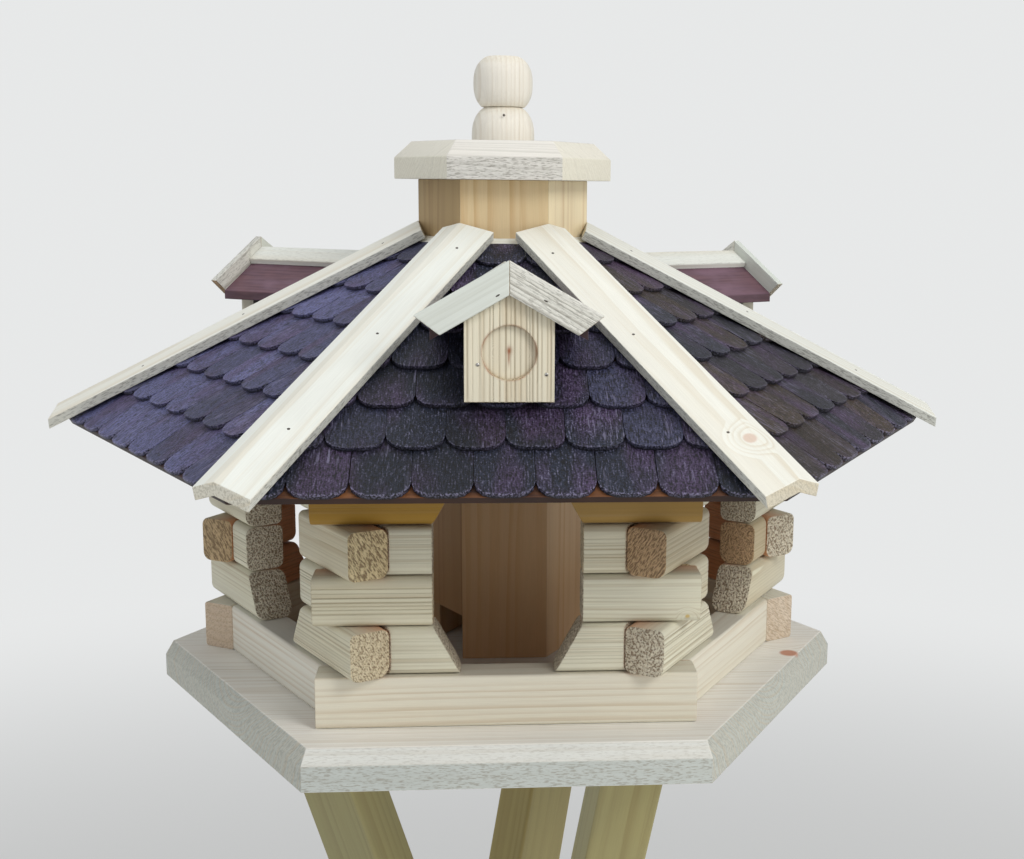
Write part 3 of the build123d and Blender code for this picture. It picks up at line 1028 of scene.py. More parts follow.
@dataclass
class ShingleRoof:
    """Rows of overlapping shingles with rounded lower corners on each of the six slopes.

    A shingle lies on the row below at its tip and on the sheet at its upper end. Distances down the slope are
    counted from the house's middle line.
    """

    material: bpy.types.Material
    random: np.random.Generator
    pitch: float = ROOF_PITCH
    eave_apothem: float = 238.0 * MM
    thickness: float = 2.5 * MM
    exposure: float = 32.5 * MM
    width: float = 30.0 * MM
    gap: float = 0.3 * MM
    corner_radius: float = 10.0 * MM
    covered: float = 9.0 * MM
    first_joint: float = -18.0 * MM
    row_shift: float = 16.0 * MM
    upper_run: float = 70.3 * MM
    hip_gap: float = 6.0 * MM
    sliver: float = 2.0 * MM
    least_width: float = 0.2 * MM
    least_bed: float = 0.05 * MM
    crown: float = 0.12 * MM
    lift: float = 0.35 * MM
    wobble: float = 0.12 * MM
    ragged: float = 1.0 * MM
    across_steps: int = 8
    rows_at: tuple[float, ...] = (0.0, 0.035, 0.4, 1.0)
    # Each slope's tone, bluish on the left and brownish on the right: painted sky reflection and painted sunlight
    painted_light_casts: tuple[float, ...] = (0.45, 0.85, 0.75, 0.5, 0.3, 0.1)

    @property
    def eave_run(self) -> float:
        """Distance down the slope to the lowest tips."""
        return self.eave_apothem / math.cos(self.pitch)

    def sheet_top(self) -> float:
        """Height at which the sheets' upper plane meets the middle line, from the shingles' packed box."""
        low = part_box("shingles_plain")[0].z
        return low + self.eave_apothem * math.tan(self.pitch)

    def hip(self, run: Array) -> Array:
        """Half the slope's width at a distance down it, less the part that the hip caps cover."""
        return run * math.cos(self.pitch) * MITRE - self.hip_gap

    def shingle(self, left: float, right: float, tip: float, row: int) -> Board:
        """One shingle as a closed skin: a grid above, one face below and the edge between.

        The lower edge is straight between two quarter circles. Across the grid a point's place is a share of
        the width between the shingle's two sides, which the hip may narrow. The bed falls evenly from the row
        below, and the upper face is crowned on a half wave that is highest at the tip.

        Args:
            left, right: its sides.
            tip: distance of its lower edge down the slope.
            row: its row, counted from 0 at the eave.

        Returns:
            The shingle, its points as across, run and height over the sheet, with a tip lightened by wear and a
            painted highlight, and a rim and underside blackened as painted shadow.
        """
        radius = min(self.corner_radius * self.random.uniform(0.9, 1.1), (right - left) * 0.45)
        share = 0.5 - 0.5 * np.cos(np.linspace(0, math.pi, self.across_steps + 1))
        curl = np.clip(radius - np.minimum(share, 1 - share) * (right - left), 0, radius)
        drawn = radius - np.sqrt(np.maximum(radius ** 2 - curl ** 2, 0))
        down = np.array(self.rows_at)[:, None]
        run = tip - drawn - down * (self.exposure + self.covered - drawn)
        limit = self.hip(run)
        low, high = np.maximum(left, -limit), np.minimum(right, limit)
        across = low + share * (np.maximum(high, low + self.least_width) - low)
        step = 0.0 if row == 0 else self.thickness
        bed = step - step / self.exposure * (tip - run) + self.random.uniform(0, self.lift) * (1 - down)
        over = bed + self.thickness - self.crown * (1 - np.sin(math.pi * share) * (1 - down))
        upper = np.stack([across, run, over], axis=2).reshape(-1, 3)
        lower = np.stack([across, run, np.maximum(bed, self.least_bed)], axis=2).reshape(-1, 3)
        index = np.arange(run.size).reshape(run.shape)
        grid = np.stack([index[:-1, :-1], index[:-1, 1:], index[1:, 1:], index[1:, :-1]], axis=-1).reshape(-1, 4)
        border = np.concatenate([index[0, :-1], index[:-1, -1], index[-1, :0:-1], index[:0:-1, 0]])
        below = np.arange(len(border)) + run.size
        rim = np.stack([border, below, np.roll(below, -1), np.roll(border, -1)], axis=1)
        points = np.concatenate([upper, lower[border]])
        # The lowest ring is lightened: wear on the tip and a painted highlight along its rim
        wear_and_highlight = np.repeat((down[:, 0] == 0) * (1.0 if row == 0 else 0.4), run.shape[1])
        # The rim darkens towards its foot and the underside is near black: painted shadow under the tip
        return Board(points, grid.tolist() + rim.tolist() + [below[::-1].tolist()],
                     from_heart(points[:, [1, 0, 2]], self.random), np.concatenate([wear_and_highlight, wear_and_highlight[border]]),
                     np.repeat([0.0, 0.9], [run.size, len(border)]))

    def slope(self, boards: Boards, side: int) -> None:
        """Lays every row of one side.

        Args:
            boards: gathers the shingles.
            side: the side of the house.
        """
        level, row = self.sheet_top(), 0
        flip = 1 if side % 2 == 0 else -1
        cosine, sine = math.cos(self.pitch), math.sin(self.pitch)
        while (tip := self.eave_run - row * self.exposure) > self.upper_run:
            reach = float(self.hip(np.array(tip))) - self.sliver
            joints = self.first_joint + self.row_shift * (row % 2) + self.width * np.arange(-8, 9)
            for left, right in zip(joints[:-1], joints[1:]):
                if right < -reach or left > reach:
                    continue
                wobble = self.random.uniform(-self.wobble, self.wobble, size=2)
                low_edge = tip - self.random.uniform(0, self.ragged)
                shingle = self.shingle(left + self.gap / 2 + wobble[0], right - self.gap / 2 + wobble[1],
                                       low_edge, row)
                across, run, over = shingle.points.T
                shingle.points = np.stack([across * flip, -run * cosine - over * sine,
                                           level - run * sine + over * cosine], axis=1)
                shingle.faces = facing_out(shingle.points, shingle.faces)
                # A shingle's tone is its slope's painted light tint with a random tint of its own
                tone_and_painted_cast = float(np.clip(self.painted_light_casts[side] + self.random.uniform(-0.2, 0.2), 0, 1))
                boards.add(shingle, tone_and_painted_cast, np.array([0, -cosine, -sine]), np.array([0, -sine, cosine]), side)
            row += 1

    def build(self) -> None:
        """Makes one piece for the sides with a dormer and one for the others."""
        for start, node in ((0, "shingles_with_dormer"), (1, "shingles_plain")):
            boards = Boards()
            for side in range(start, SIDES, 2):
                self.slope(boards, side)
            boards.make(f"overlapping_{node}", self.material, HOUSE, "stained_shingle", node, smooth_angle=30.0)


# The dormers


@dataclass
class Gables:
    """The three dormers' front boards, grooved upright, with a round blind recess."""

    material: bpy.types.Material
    random: np.random.Generator
    width: float = 46.0 * MM
    thickness: float = 10.0 * MM
    pitch: float = math.radians(30)
    recess_radius: float = 14.0 * MM
    recess_depth: float = 3.0 * MM
    recess_height: float = 25.3 * MM
    groove_pitch: tuple[float, float] = (1.5 * MM, 3.6 * MM)
    groove_depth: float = 0.5 * MM
    groove_width: tuple[float, float] = (0.22 * MM, 0.5 * MM)
    heart_reach: tuple[float, float] = (25 * MM, 60 * MM)
    edge_break: float = 0.35 * MM
    rim_rounding: float = 0.25 * MM
    rays: int = 340
    rings: int = 34
    floor_rings: int = 26

    def boundary(self, angles: Array, height: float) -> Array:
        """Distance from the recess's middle to the board's outline: the nearest of its five edge lines.

        Args:
            angles: directions, anticlockwise from +X.
            height: the board's height at its point.

        Returns:
            The distance in each direction.
        """
        cosine, sine = np.cos(angles), np.sin(angles)
        half, peak = self.width / 2, height - self.recess_height
        rise = peak * math.cos(self.pitch)
        lines = [(1.0, 0.0, half), (-1.0, 0.0, half), (0.0, -1.0, self.recess_height),
                 (math.sin(self.pitch), math.cos(self.pitch), rise),
                 (-math.sin(self.pitch), math.cos(self.pitch), rise)]
        reach = [np.where(cosine * a + sine * b > 1e-6, c / np.maximum(cosine * a + sine * b, 1e-6), 1.0)
                 for a, b, c in lines]
        return np.min(reach, axis=0)

    def grooves(self, across: Array) -> Array:
        """Depth of the upright grooves: narrow bells at uneven steps across the board.

        Args:
            across: places across the board.

        Returns:
            The depth at each place.
        """
        steps = self.random.uniform(*self.groove_pitch, size=30)
        middles = np.cumsum(steps) - self.width / 2
        widths = self.random.uniform(*self.groove_width, size=30)
        depths = self.groove_depth * self.random.uniform(0.4, 1.0, size=30)
        return (np.exp(-((across[..., None] - middles) / widths) ** 2) * depths).sum(-1)

    def chips(self, angles: Array) -> Array:
        """How chipped the recess's rim is, from 0 to 1: a sum of sines with drawn phases, strongest low down."""
        waves = sum(np.sin(angles * turns + self.random.uniform(0, 2 * math.pi)) for turns in (9, 16, 31))
        return np.clip(waves / 2, 0, 1) * np.clip(0.6 - np.sin(angles), 0, 1)

    def rays_at(self, height: float) -> Array:
        """Evenly spread directions, the nearest of which are moved to the board's corners.

        Args:
            height: from the board's foot to its point.

        Returns:
            The directions in rising order.
        """
        angles = np.linspace(0, 2 * math.pi, self.rays, endpoint=False)
        corners = np.array([math.atan2(y, x) for x, y in self.corner_places(height)]) % (2 * math.pi)
        apart = np.abs((angles[None, :] - corners[:, None] + math.pi) % (2 * math.pi) - math.pi)
        angles[apart.argmin(1)] = corners
        return np.sort(angles)

    def marks(self, points: Array) -> Array:
        """Share of the brown colour: a broken line round the recess, a burnt rim with painted shade at its edge,
        and a centre mark with a streak below it.

        Args:
            points: places of across, up and depth from the recess's middle.

        Returns:
            The share at each point, none on the board's back.
        """
        across, up, depth = points.T

        def bell(distance: Array, width: float) -> Array:
            """A bell that falls with the distance."""
            return np.exp(-(distance / width) ** 2)

        radius = np.hypot(across, up)
        uneven = 0.5 + 0.25 * (np.sin(np.arctan2(up, across) * 5 + 1) + np.sin(radius / (0.1 * MM)))
        # The line round the recess: burnt rim and painted shade
        rim = bell(radius - self.recess_radius, 0.6 * MM) * uneven
        spot = bell(across, 1.4 * MM) * bell(up - 1.0 * MM, 2.0 * MM)
        streak = bell(across + 0.2 * MM, 0.6 * MM) * bell(up + 3.0 * MM, 3.5 * MM)
        return np.clip(0.9 * rim + 0.8 * spot + 0.7 * streak, 0, 1) * (depth < self.thickness / 2)

    def board(self, low: float, front: float, height: float) -> Board:
        """One board as a polar grid about its recess, closed by its edge and its flat back.

        The radii run from near the middle to the recess's wall, over its rounded and chipped rim, and out to
        the board's outline. The grooves lie less deep on the recess's floor.

        Args:
            low: height of its foot.
            front: its front face's apothem.
            height: from its foot to its point.

        Returns:
            The board on side 0, with its marks, and its grooves darkened by grime and painted shade.
        """
        angles = self.rays_at(height)
        edge = self.boundary(angles, height)
        floor = (np.linspace(0.01, 1, self.floor_rings)[:, None] * (self.recess_radius - self.rim_rounding)
                 * np.ones_like(edge))
        wall = self.recess_radius + np.array([0.0, 0.3 * MM])[:, None] * (1 + 2.2 * self.chips(angles))
        outer = wall[1] + np.linspace(0, 1, self.rings)[1:, None] * (edge - self.edge_break - wall[1])
        radii = np.concatenate([floor, wall, outer])
        sunk = np.repeat([self.recess_depth, self.rim_rounding, 0.0], [self.floor_rings, 1, self.rings])[:, None]
        groove = self.grooves(radii * np.cos(angles))
        depth = sunk + np.where(sunk > MM, 0.35, 1.0) * groove
        radii = np.concatenate([radii, [edge, edge]])
        depth = np.concatenate([depth, np.repeat([[0.4 * MM], [self.thickness]], len(edge), axis=1)])
        points, faces = loft(np.stack([radii * np.cos(angles), radii * np.sin(angles), depth], axis=2))
        placed = np.stack([points[:, 0], points[:, 2] - front, low + self.recess_height + points[:, 1]], axis=1)
        # Darker in the grooves: grime and painted shade
        shade_and_dirt = np.zeros(len(points))
        shade_and_dirt[:groove.size] = np.clip(groove.ravel() / self.groove_depth, 0, 1) ** 0.8
        return Board(placed, facing_out(placed, faces),
                     from_heart(points[:, [1, 0, 2]], self.random, self.heart_reach), self.marks(points), shade_and_dirt)

    def corner_places(self, height: float) -> list[tuple[float, float]]:
        """The corners of the board's outline.

        Args:
            height: from the board's foot to its point.

        Returns:
            Each corner's place across and up from the recess's middle.
        """
        half, peak = self.width / 2, height - self.recess_height
        shoulder = peak - half * math.tan(self.pitch)
        foot = -self.recess_height
        return [(half, foot), (half, shoulder), (0.0, peak), (-half, shoulder), (-half, foot)]

    def build(self) -> None:
        """Makes the three boards as one piece."""
        low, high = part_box("dormer_gables")
        boards = Boards()
        for side in DORMER_SIDES:
            board = self.board(low.z, -low.y, high.z - low.z)
            boards.add(board, self.random.uniform(0.3, 0.6), UP, FRONT, side)
        boards.make("grooved_dormer_gables", self.material, HOUSE, "gable_board", "dormer_gables",
                    smooth_angle=40.0)


# The lid's knob


@dataclass
class Knob:
    """The lid's turned knob: a low ball under a round one, turned about the middle line."""

    material: bpy.types.Material
    # Greatest radius, height of the widest place over the lower flat and half the whole ball's height
    low_ball: tuple[float, float, float] = (19.4 * MM, 3.1 * MM, 20.6 * MM)
    high_ball: tuple[float, float, float] = (18.3 * MM, 14.1 * MM, 17.9 * MM)
    heart: tuple[float, float, float] = (0.3, 60 * MM, 20 * MM)
    flat_break: float = 0.5 * MM
    fullness: float = 2.5
    around: int = 96
    steps: int = 40

    def ball(self, low: float, high: float, radius: float, widest: float, half: float) -> Array:
        """Rings of a turned ball between two flats.

        The radius falls from the widest place as that of an ellipse with a higher exponent, which makes
        fuller shoulders. The flats' edges are a little broken.

        Args:
            low, high: heights of its two flats.
            radius: its greatest radius.
            widest: height of the widest place over the lower flat.
            half: half the whole ball's height.

        Returns:
            Array of rings by points by three.
        """
        rise = (high - low) * (0.5 - 0.5 * np.cos(np.linspace(0, math.pi, self.steps)))
        reach = radius * (1 - (np.abs(rise - widest) / half) ** self.fullness) ** (1 / self.fullness)
        reach = np.concatenate([[reach[0] - self.flat_break], reach, [reach[-1] - self.flat_break]])
        rise = np.concatenate([[0.0], rise, [high - low]])
        turn = np.linspace(0, 2 * math.pi, self.around, endpoint=False)
        return np.stack([reach[:, None] * np.cos(turn), reach[:, None] * np.sin(turn),
                         np.broadcast_to(low + rise[:, None], (len(rise), self.around))], axis=2)

    def build(self) -> None:
        """Makes the two balls."""
        for node, shape in (("lid_knob_lower", self.low_ball), ("lid_knob_upper", self.high_ball)):
            low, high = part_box(node)
            points, faces = loft(self.ball(low.z, high.z, *shape))
            boards = Boards()
            boards.add(Board(points, faces, points[:, [2, 0, 1]] + np.array(self.heart)), 0.8, UP, FRONT)
            boards.make(f"turned_{node}", self.material, LID, "turned_knob", node, smooth_angle=50.0)


# Nails


@dataclass(frozen=True)
class Head:
    """A small head on the wood: a round one, or a narrow slot that runs in one direction."""

    place: Array
    normal: Array
    radius: float
    proud: float
    run: Array | None = None

    def board(self) -> Board:
        """The head's skin: rings that shrink as a cosine while they rise as a sine, closed flat underneath.

        Returns:
            The head. Its grain is its place on the object.
        """
        normal = self.normal / np.linalg.norm(self.normal)
        first = np.cross(normal, [0.3, 0.5, 0.8]) if self.run is None else self.run
        first = first / np.linalg.norm(first)
        second = np.cross(normal, first) * (1.0 if self.run is None else 0.35)
        turn = np.linspace(0, 2 * math.pi, 12, endpoint=False)[:, None]
        circle = np.cos(turn) * first + np.sin(turn) * second
        rings = [self.place + normal * self.proud * level + self.radius * math.sqrt(1 - max(level, 0) ** 2) * circle
                 for level in (-0.5, 0.0, 0.55, 0.95)]
        points, faces = loft(np.array(rings))
        return Board(points, faces, points)


@dataclass
class Nails:
    """Small nail heads: brads in the hip caps, gables and knob, and punched slots in the barge boards.

    The places in the gables, the barge boards and the knob are in millimetres, on side 0.
    """

    steel: bpy.types.Material
    shadow: bpy.types.Material
    random: np.random.Generator
    pitch: float = ROOF_PITCH
    cap_peak: float = 1422.71 * MM
    cap_runs: tuple[float, ...] = (78 * MM, 158 * MM, 231 * MM)
    cap_wobble: float = 8 * MM
    cap_aside: tuple[float, float] = (9 * MM, 13 * MM)
    turned_caps: tuple[int, ...] = (1, 3, 4)
    gable_places: tuple[tuple[float, float, float], ...] = ((-16.0, -189.9, 1328.5), (18.9, -189.9, 1323.5))
    # The places of the slots, each with its rise for one step across
    barge_slots: tuple[tuple[float, float, float, float], ...] = (
        (-5.9, -194.5, 1363.7, 0.6), (18.2, -194.5, 1361.1, -0.5))
    knob_place: tuple[float, float, float] = (0.2, -19.0, 1459.6)

    def gather(self, name: str, material: bpy.types.Material, body: str, slot: str, heads: list[Head]) -> None:
        """Makes one piece from many heads.

        Args:
            name: the piece's name.
            material: its finish.
            body: the body that it rides on.
            slot: the record's material slot of the wood that it is in.
            heads: the heads.
        """
        boards = Boards()
        for head in heads:
            boards.add(head.board(), 0.5, head.normal, head.normal)
        boards.make(name, material, body, slot)

    def cap_heads(self) -> list[Head]:
        """Three brads along each hip cap, on its wider flange.

        Returns:
            The heads.
        """
        heads = []
        for corner in range(SIDES):
            bearing, hand = SIXTH * corner, 1 if corner in self.turned_caps else -1
            facing = bearing + hand * SIXTH / 2
            outwards = np.array([math.cos(facing), math.sin(facing), 0.0])
            normal = outwards * math.sin(self.pitch) + UP * math.cos(self.pitch)
            for middle in self.cap_runs:
                run = middle + self.random.uniform(-self.cap_wobble, self.cap_wobble)
                aside = hand * self.random.uniform(*self.cap_aside)
                place = turned(np.array([run, aside, 0.0]), corner)
                place[2] = self.cap_peak - math.tan(self.pitch) * float(place @ outwards)
                heads.append(Head(place, normal, 0.85 * MM, 0.15 * MM))
        return heads

    def build(self) -> None:
        """Makes the nails of the caps, gables, barges and knob."""
        self.gather("brads_in_hip_caps", self.shadow, HOUSE, "roof_trim", self.cap_heads())
        gables, barges = [], []
        for side in DORMER_SIDES:
            outwards = turned(FRONT, side)
            gables += [Head(turned(np.array(place) * MM, side), outwards, 1.05 * MM, 0.8 * MM)
                       for place in self.gable_places]
            barges += [Head(turned(np.array(place) * MM, side), outwards, 1.2 * MM, 0.06 * MM,
                            turned(np.array([1.0, 0, rise]), side))
                       for *place, rise in self.barge_slots]
        self.gather("nails_in_dormer_gables", self.steel, HOUSE, "gable_board", gables)
        self.gather("punched_nails_in_barges", self.shadow, HOUSE, "roof_trim", barges)
        brad = Head(np.array(self.knob_place) * MM, np.array([0.0, -1.0, 0.12]), 0.8 * MM, 0.2 * MM)
        self.gather("brad_in_knob", self.shadow, LID, "turned_knob", [brad])


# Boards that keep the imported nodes' shapes


@dataclass
class Joinery:
    """Every board, bar and strip that is a plain planed piece in the shape of its node."""

    finishes: dict[str, bpy.types.Material]
    random: np.random.Generator
    roof_level: float = 1.382
    one_tone: tuple[float, float] = (0.5, 0.5)
    # The finish and the tones of the silo's boards in front, by node. The front-left board's darker finish is
    # painted shade.
    silo_looks: dict[str, tuple[str, tuple[float, float]]] = field(default_factory=lambda: {
        "silo_board_front": ("silo_board", (0.9, 0.9)), "silo_board_front_right": ("silo_board", (0.1, 0.1)),
        "silo_board_front_left": ("dark_silo_board", (0.5, 0.5))})

    def build(self) -> None:
        """Dresses the nodes group by group."""
        boards = PlanedBoards(self.random)
        fine = PlanedBoards(self.random, edge_break=0.35 * MM)
        boards.dress("base_plate", "floor_board", self.finishes["floor_board"], HOUSE, "floor_board",
                     Grain.ALONG_X, heart=(-95 * MM, 34 * MM), tones=self.one_tone)
        for node in self.nodes("stand_leg"):
            fine.dress(node, f"bar_{node}", self.finishes["leg_bar"], HOUSE, "leg_bar")
        for node in self.nodes("sill_rails"):
            boards.dress(node, f"planed_{node}", self.finishes["sill_rail"], HOUSE, "sill_rail")
        for node in self.nodes("logs_course_5") + self.nodes("wall_plates"):
            fine.dress(node, f"upper_{node}", self.finishes["wall_log"], HOUSE, "wall_log", stain=self.behind_wall)
        for node in self.nodes("silo_board"):
            finish, tones = self.silo_looks.get(node, ("silo_board", (0.2, 0.8)))
            boards.dress(node, f"planed_{node}", self.finishes[finish], HOUSE, "silo_board", Grain.UPRIGHT,
                         stain=self.under_roof, tones=tones)
        for node, finish in (("roof_sheets_with_dormer", "stained_sheet"), ("roof_sheets_plain", "dark_sheet")):
            fine.dress(node, f"stained_{node}", self.finishes[finish], HOUSE, "stained_sheet")
        for node in self.nodes("dormer_planks"):
            fine.dress(node, f"stained_{node}", self.finishes["stained_plank"], HOUSE, "stained_sheet")
        for node in self.nodes("hip_cap") + self.nodes("silo_strips") + self.nodes("dormer_ridge_caps"):
            boards.dress(node, f"sawn_{node}", self.finishes["roof_trim"], HOUSE, "roof_trim")
        boards.dress("dormer_barges_left", "smooth_left_barges", self.finishes["smooth_barge"], HOUSE, "roof_trim")
        boards.dress("dormer_barges_right", "rough_right_barges", self.finishes["rough_barge"], HOUSE, "roof_trim")
        boards.dress("lid_plate", "bevelled_lid_board", self.finishes["lid_board"], LID, "lid_board",
                     Grain.ALONG_X, heart=(20 * MM, 22 * MM), tones=self.one_tone)
        boards.dress("lid_plug", "lid_plug_board", self.finishes["lid_board"], LID, "lid_board", Grain.ALONG_X)

    @staticmethod
    def behind_wall(points: Array) -> Array:
        """Share of the warmer inner colour, fresher wood and painted bounce light, by the apothem of the six-sided
        ring that a point lies on.

        Args:
            points: positions, one a row.

        Returns:
            The share at each point.
        """
        angles = SIXTH * np.arange(SIDES) - math.pi / 2
        return inner_wood_and_bounce((points[:, :1] * np.cos(angles) + points[:, 1:2] * np.sin(angles)).max(1))

    def under_roof(self, points: Array) -> Array:
        """Share of the warmer, darker colour of a silo board below the roof sheets: fresher wood and painted warm
        bounce light.
        """
        return np.clip((self.roof_level - points[:, 2]) / (2 * MM), 0, 1) * 0.6

    @staticmethod
    def nodes(start: str) -> list[str]:
        """The names of the nodes that begin with some words, in order."""
        return sorted(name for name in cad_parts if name.startswith(start))


# The studio


@dataclass(frozen=True)
class Lamp:
    """A square soft lamp: its name, where it stands, the length of its sides, its watts and its colour."""

    name: str
    place: tuple[float, float, float]
    size: float
    power: float
    colour: Colour = (0.98, 0.99, 1.0)

    def build(self, aim: tuple[float, float, float]) -> None:
        """Puts the lamp into the scene.

        Args:
            aim: the place that it looks at.
        """
        data = bpy.data.lights.new(self.name, "AREA")
        data.size, data.energy, data.color = self.size, self.power, self.colour
        lamp = bpy.data.objects.new(self.name, data)
        lamp.location = self.place
        lamp.rotation_euler = (Vector(aim) - Vector(self.place)).to_track_quat("-Z", "Y").to_euler()
        bpy.context.scene.collection.objects.link(lamp)


@dataclass
class Studio:
    """A plain pale floor, soft light and the camera at the photograph's place."""

    camera_place: tuple[float, float, float] = (-0.0149, -0.9037, 1.4186)
    yaw: float = math.radians(4.82)
    pitch: float = math.radians(10.49)
    roll: float = math.radians(0.69)
    lens: float = 49.73
    shift: tuple[float, float] = (-0.0834, 0.0169)
    clip: tuple[float, float] = (0.05, 60.0)
    backdrop: Colour = (0.80, 0.81, 0.81)
    floor_colour: Colour = (0.78, 0.78, 0.77)
    floor_half: float = 25.0
    fade: tuple[float, float] = (1.2, 4.0)
    sky: Colour = (0.97, 0.985, 1.0)
    sky_strength: float = 0.46
    aim: tuple[float, float, float] = (0.0, 0.0, 1.25)
    lamps: tuple[Lamp, ...] = (
        Lamp("key", (1.55, -1.7, 3.0), 1.1, 39.0, (1.0, 0.99, 0.965)),
        Lamp("left_sky", (-1.6, -0.3, 3.0), 1.2, 7.0, (0.95, 0.98, 1.0)),
        Lamp("low_right", (2.0, -1.5, 1.35), 1.0, 7.0, (1.0, 0.96, 0.88)),
        Lamp("sky", (0.0, 0.4, 3.4), 2.4, 12.0),
        Lamp("fill", (-1.6, -1.6, 1.9), 1.4, 4.5))

    def camera(self) -> None:
        """Makes the camera from where it stands and the way that it looks."""
        ahead = Vector((math.sin(self.yaw) * math.cos(self.pitch), math.cos(self.yaw) * math.cos(self.pitch),
                        -math.sin(self.pitch)))
        level = Vector((math.cos(self.yaw), -math.sin(self.yaw), 0))
        upright = level.cross(ahead)
        right = level * math.cos(self.roll) + upright * math.sin(self.roll)
        up = upright * math.cos(self.roll) - level * math.sin(self.roll)
        data = bpy.data.cameras.new("camera")
        data.lens, data.sensor_width = self.lens, 36.0
        data.shift_x, data.shift_y = self.shift
        data.clip_start, data.clip_end = self.clip
        camera = bpy.data.objects.new("camera", data)
        axes = Matrix((right, up, -ahead)).transposed().to_4x4()
        camera.matrix_world = Matrix.Translation(self.camera_place) @ axes
        bpy.context.scene.collection.objects.link(camera)
        bpy.context.scene.camera = camera

    def world(self) -> None:
        """A pale even sky that the camera sees as the backdrop's colour."""
        world = bpy.data.worlds.new("world")
        bpy.context.scene.world = world
        shader = Shader(world)
        path = shader.node("ShaderNodeLightPath", {}, {})
        seen = shader.node("ShaderNodeBackground", {}, {"Color": (*self.backdrop, 1)})
        lit = shader.node("ShaderNodeBackground", {}, {"Color": (*self.sky, 1), "Strength": self.sky_strength})
        mixed = shader.node("ShaderNodeMixShader", {}, {
            0: path.outputs["Is Camera Ray"], 1: lit.outputs[0], 2: seen.outputs[0]})
        shader.node("ShaderNodeOutputWorld", {}, {"Surface": mixed.outputs[0]})

    def floor(self) -> None:
        """A wide floor that fades into the backdrop away from the house."""
        shader = Shader(bpy.data.materials.new("floor"))
        distance = shader.node("ShaderNodeVectorMath", {"operation": "LENGTH"}, {0: shader.place()})
        far = Value(shader, distance.outputs["Value"]).rise(*self.fade)
        matt = shader.node("ShaderNodeBsdfDiffuse", {}, {"Color": (*self.floor_colour, 1)})
        glow = shader.node("ShaderNodeEmission", {}, {"Color": (*self.backdrop, 1), "Strength": 1.0})
        mixed = shader.node("ShaderNodeMixShader", {}, {0: far, 1: matt.outputs[0], 2: glow.outputs[0]})
        shader.node("ShaderNodeOutputMaterial", {}, {"Surface": mixed.outputs[0]})
        corners = [(x * self.floor_half, y * self.floor_half, 0) for x, y in ((-1, -1), (1, -1), (1, 1), (-1, 1))]
        mesh = bpy.data.meshes.new("studio_floor")
        mesh.from_pydata(corners, [], [(0, 1, 2, 3)])
        mesh.materials.append(shader.owner)
        ground = bpy.data.objects.new("studio_floor", mesh)
        bpy.context.scene.collection.objects.link(ground)

    def build(self) -> None:
        """Sets up the whole studio."""
        bpy.context.scene.view_settings.view_transform = "Standard"
        self.camera()
        self.world()
        self.floor()
        for lamp in self.lamps:
            lamp.build(self.aim)


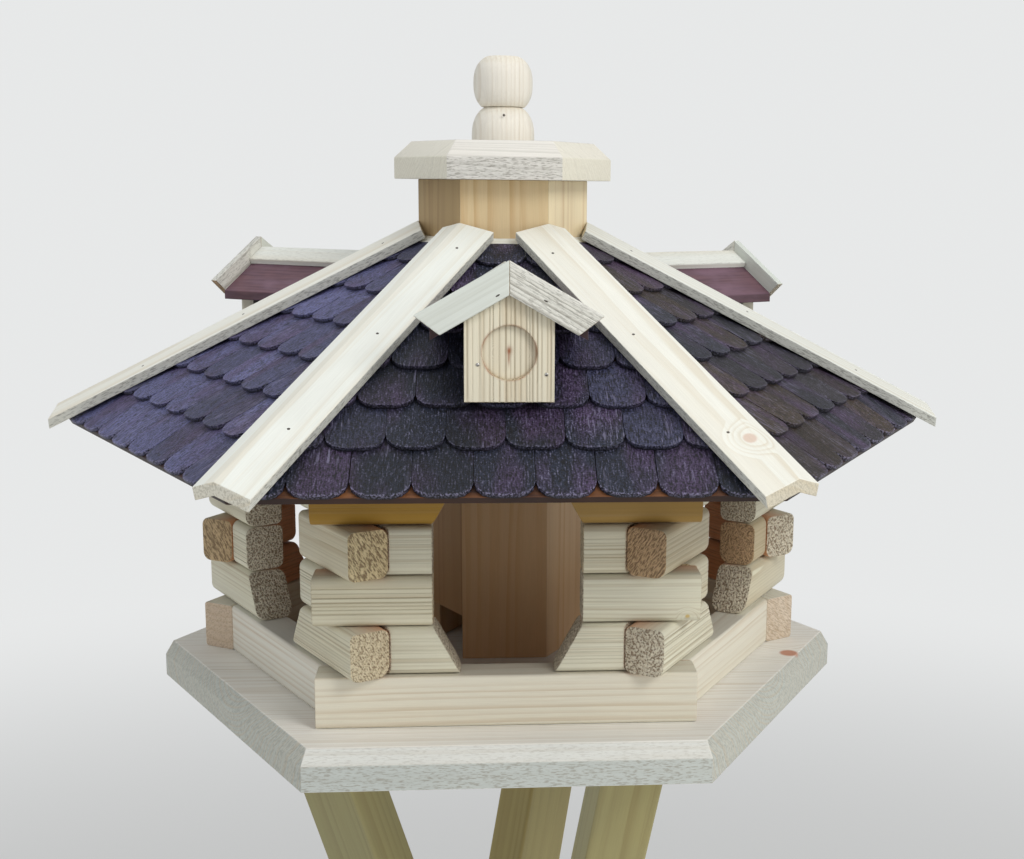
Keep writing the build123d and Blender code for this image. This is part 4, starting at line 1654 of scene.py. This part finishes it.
def finishes() -> dict[str, bpy.types.Material]:
    """Every finish of the feeder by its name.

    Returns:
        The materials.
    """
    silo = Softwood("silo_board", early=srgb(226, 211, 176), warm=srgb(188, 158, 108), late=srgb(176, 134, 80),
                    # Its stained colour below the roof is fresher wood and painted warm bounce light
                    stained=srgb(214, 162, 114), ring_contrast=0.55, ring_spacing=8.0 * MM, streaks=0.3,
                    wander=9.0 * MM, tone_share=0.7, grey_share=0.1)
    woods = [
        # Its pale top and bluish grey narrow edges: weathering, with painted light on the top and painted shade on
        # the edges
        Softwood("floor_board", early=srgb(243, 241, 234), late=srgb(192, 172, 142), end=srgb(190, 193, 185),
                 end_warm=srgb(190, 193, 185), pore=srgb(146, 150, 144), grey=srgb(176, 184, 180),
                 ring_contrast=0.42, ring_spacing=2.8 * MM, end_rings=0.4, end_lines=0.5, end_depth=0.15 * MM,
                 fuzz=0.4, tone_share=0.0, grey_share=0.15, edge_grey=0.75, knot=srgb(190, 110, 68),
                 knots=((0.1829, -0.0447, 1.1234, 0.0062), (0.02, 0.171, 1.1234, 0.006))),
        # Darker and greener than its wood: painted shade under the plate and painted green bounce light
        Softwood("leg_bar", early=srgb(162, 153, 106), warm=srgb(154, 136, 78), late=srgb(118, 96, 54),
                 grey=srgb(146, 145, 116), ring_contrast=0.4, ring_spacing=5.0 * MM, grey_share=0.3),
        Softwood("sill_rail", early=srgb(222, 219, 207), warm=srgb(216, 204, 174), late=srgb(180, 152, 114),
                 end=srgb(214, 204, 188), end_warm=srgb(216, 200, 180), end_dark=srgb(208, 188, 166),
                 pore=srgb(168, 146, 120), ring_spacing=4.2 * MM, end_lines=0.6, end_depth=0.3 * MM),
        # Its dark warm colour is yellow wood with painted eave shade, strongest on the top logs
        Softwood("wall_log", early=srgb(217, 213, 190), warm=srgb(152, 116, 38), late=srgb(156, 130, 88),
                 # Its stained colour on the walls' inner faces is fresher wood and painted warm bounce light
                 end=srgb(220, 211, 190), pore=srgb(108, 86, 60), stained=srgb(202, 128, 76), end_lines=0.8,
                 tone_share=1.0, grey_share=0.3, knot=srgb(196, 164, 84),
                 knots=((0.099, -0.1596, 1.1845, 0.0016),)),
        silo,
        # A darker copy of the silo's wood: painted shade for the front-left board
        replace(silo, name="dark_silo_board", early=srgb(176, 152, 110), warm=srgb(166, 138, 92),
                late=srgb(126, 94, 58), stained=srgb(190, 140, 96), tone_share=0.5),
        Softwood("roof_trim", early=srgb(228, 230, 223), warm=srgb(236, 233, 221), late=srgb(200, 182, 148),
                 end=srgb(216, 212, 198), end_warm=srgb(216, 210, 192), end_dark=srgb(208, 200, 180),
                 pore=srgb(160, 154, 138), shade_and_dirt=srgb(112, 110, 104), grey=srgb(190, 191, 184),
                 ring_spacing=5.5 * MM, end_lines=0.5, end_depth=0.2 * MM, fuzz=0.6, roughness=0.55,
                 grey_share=0.2, edge_grey=0.7, knot=srgb(212, 186, 168),
                 knots=((0.1196, -0.2159, 1.295, 0.0038), (-0.13, 0.205, 1.296, 0.004))),
        Softwood("smooth_barge", early=srgb(215, 219, 212), warm=srgb(220, 221, 208), late=srgb(176, 176, 160),
                 grey=srgb(200, 206, 198), ring_contrast=0.3, end_depth=0.3 * MM, grey_share=0.3, edge_grey=0.5),
        Softwood("rough_barge", early=srgb(230, 229, 221), warm=srgb(226, 223, 210), late=srgb(128, 122, 108),
                 shade_and_dirt=srgb(110, 106, 96), grey=srgb(206, 206, 198), ring_contrast=0.7, ring_spacing=2.6 * MM,
                 streaks=0.5, hair=0.4, fibre_depth=0.5 * MM, end_depth=0.3 * MM, grey_share=0.2, edge_grey=0.5),
        Softwood("gable_board", early=srgb(233, 226, 204), warm=srgb(228, 212, 176), late=srgb(186, 156, 110),
                 stained=srgb(150, 84, 44), shade_and_dirt=srgb(122, 98, 62), ring_contrast=0.4, ring_spacing=3.4 * MM,
                 grey_share=0.1),
        Softwood("lid_board", early=srgb(228, 224, 216), late=srgb(150, 146, 134), end=srgb(228, 224, 208),
                 end_warm=srgb(228, 224, 208), pore=srgb(206, 200, 180), shade_and_dirt=srgb(120, 114, 102),
                 grey=srgb(214, 214, 210), ring_contrast=0.4, ring_spacing=2.2 * MM, wander=7.0 * MM,
                 end_rings=0.1, end_lines=0.3, end_depth=0.1 * MM, fuzz=0.55, streaks=0.4,
                 fibre_depth=0.3 * MM, tone_share=0.0, grey_share=0.3),
        Softwood("turned_knob", early=srgb(226, 222, 213), warm=srgb(222, 214, 198), late=srgb(184, 164, 138),
                 end=srgb(226, 221, 210), end_warm=srgb(224, 219, 206), end_dark=srgb(224, 219, 206),
                 pore=srgb(206, 194, 174), ring_contrast=0.4, ring_spacing=2.8 * MM, end_rings=0.2,
                 end_lines=0.4, end_depth=0.06 * MM, streaks=0.15),
    ]
    others = [StainedShingle(), StainedBoard("stained_sheet"),
              StainedBoard("dark_sheet", light=srgb(74, 52, 50), dark=srgb(40, 28, 32)),
              StainedBoard("stained_plank", light=srgb(114, 82, 90), dark=srgb(58, 40, 52), bloom_share=0.6),
              # Dark nail heads: dull steel with painted shade
              NailSteel(), NailSteel("dull_and_shaded_nail", bright=srgb(104, 98, 92), dull=srgb(52, 46, 42))]
    return {finish.name: finish.build() for finish in (*woods, *others)}


def main() -> None:
    """Builds the studio and every sub-assembly."""
    logging.basicConfig(level=logging.INFO, format="%(name)s %(message)s")
    random = np.random.default_rng(SEED)
    ready = finishes()
    for part in (Studio(), Joinery(ready, random), LogWalls(ready["wall_log"], random),
                 ShingleRoof(ready["stained_shingle"], random), Gables(ready["gable_board"], random),
                 Knob(ready["turned_knob"]), Nails(ready["nail_steel"], ready["dull_and_shaded_nail"], random)):
        part.build()
        LOG.info("%s is built", type(part).__name__)


if __name__ == "__main__":
    main()
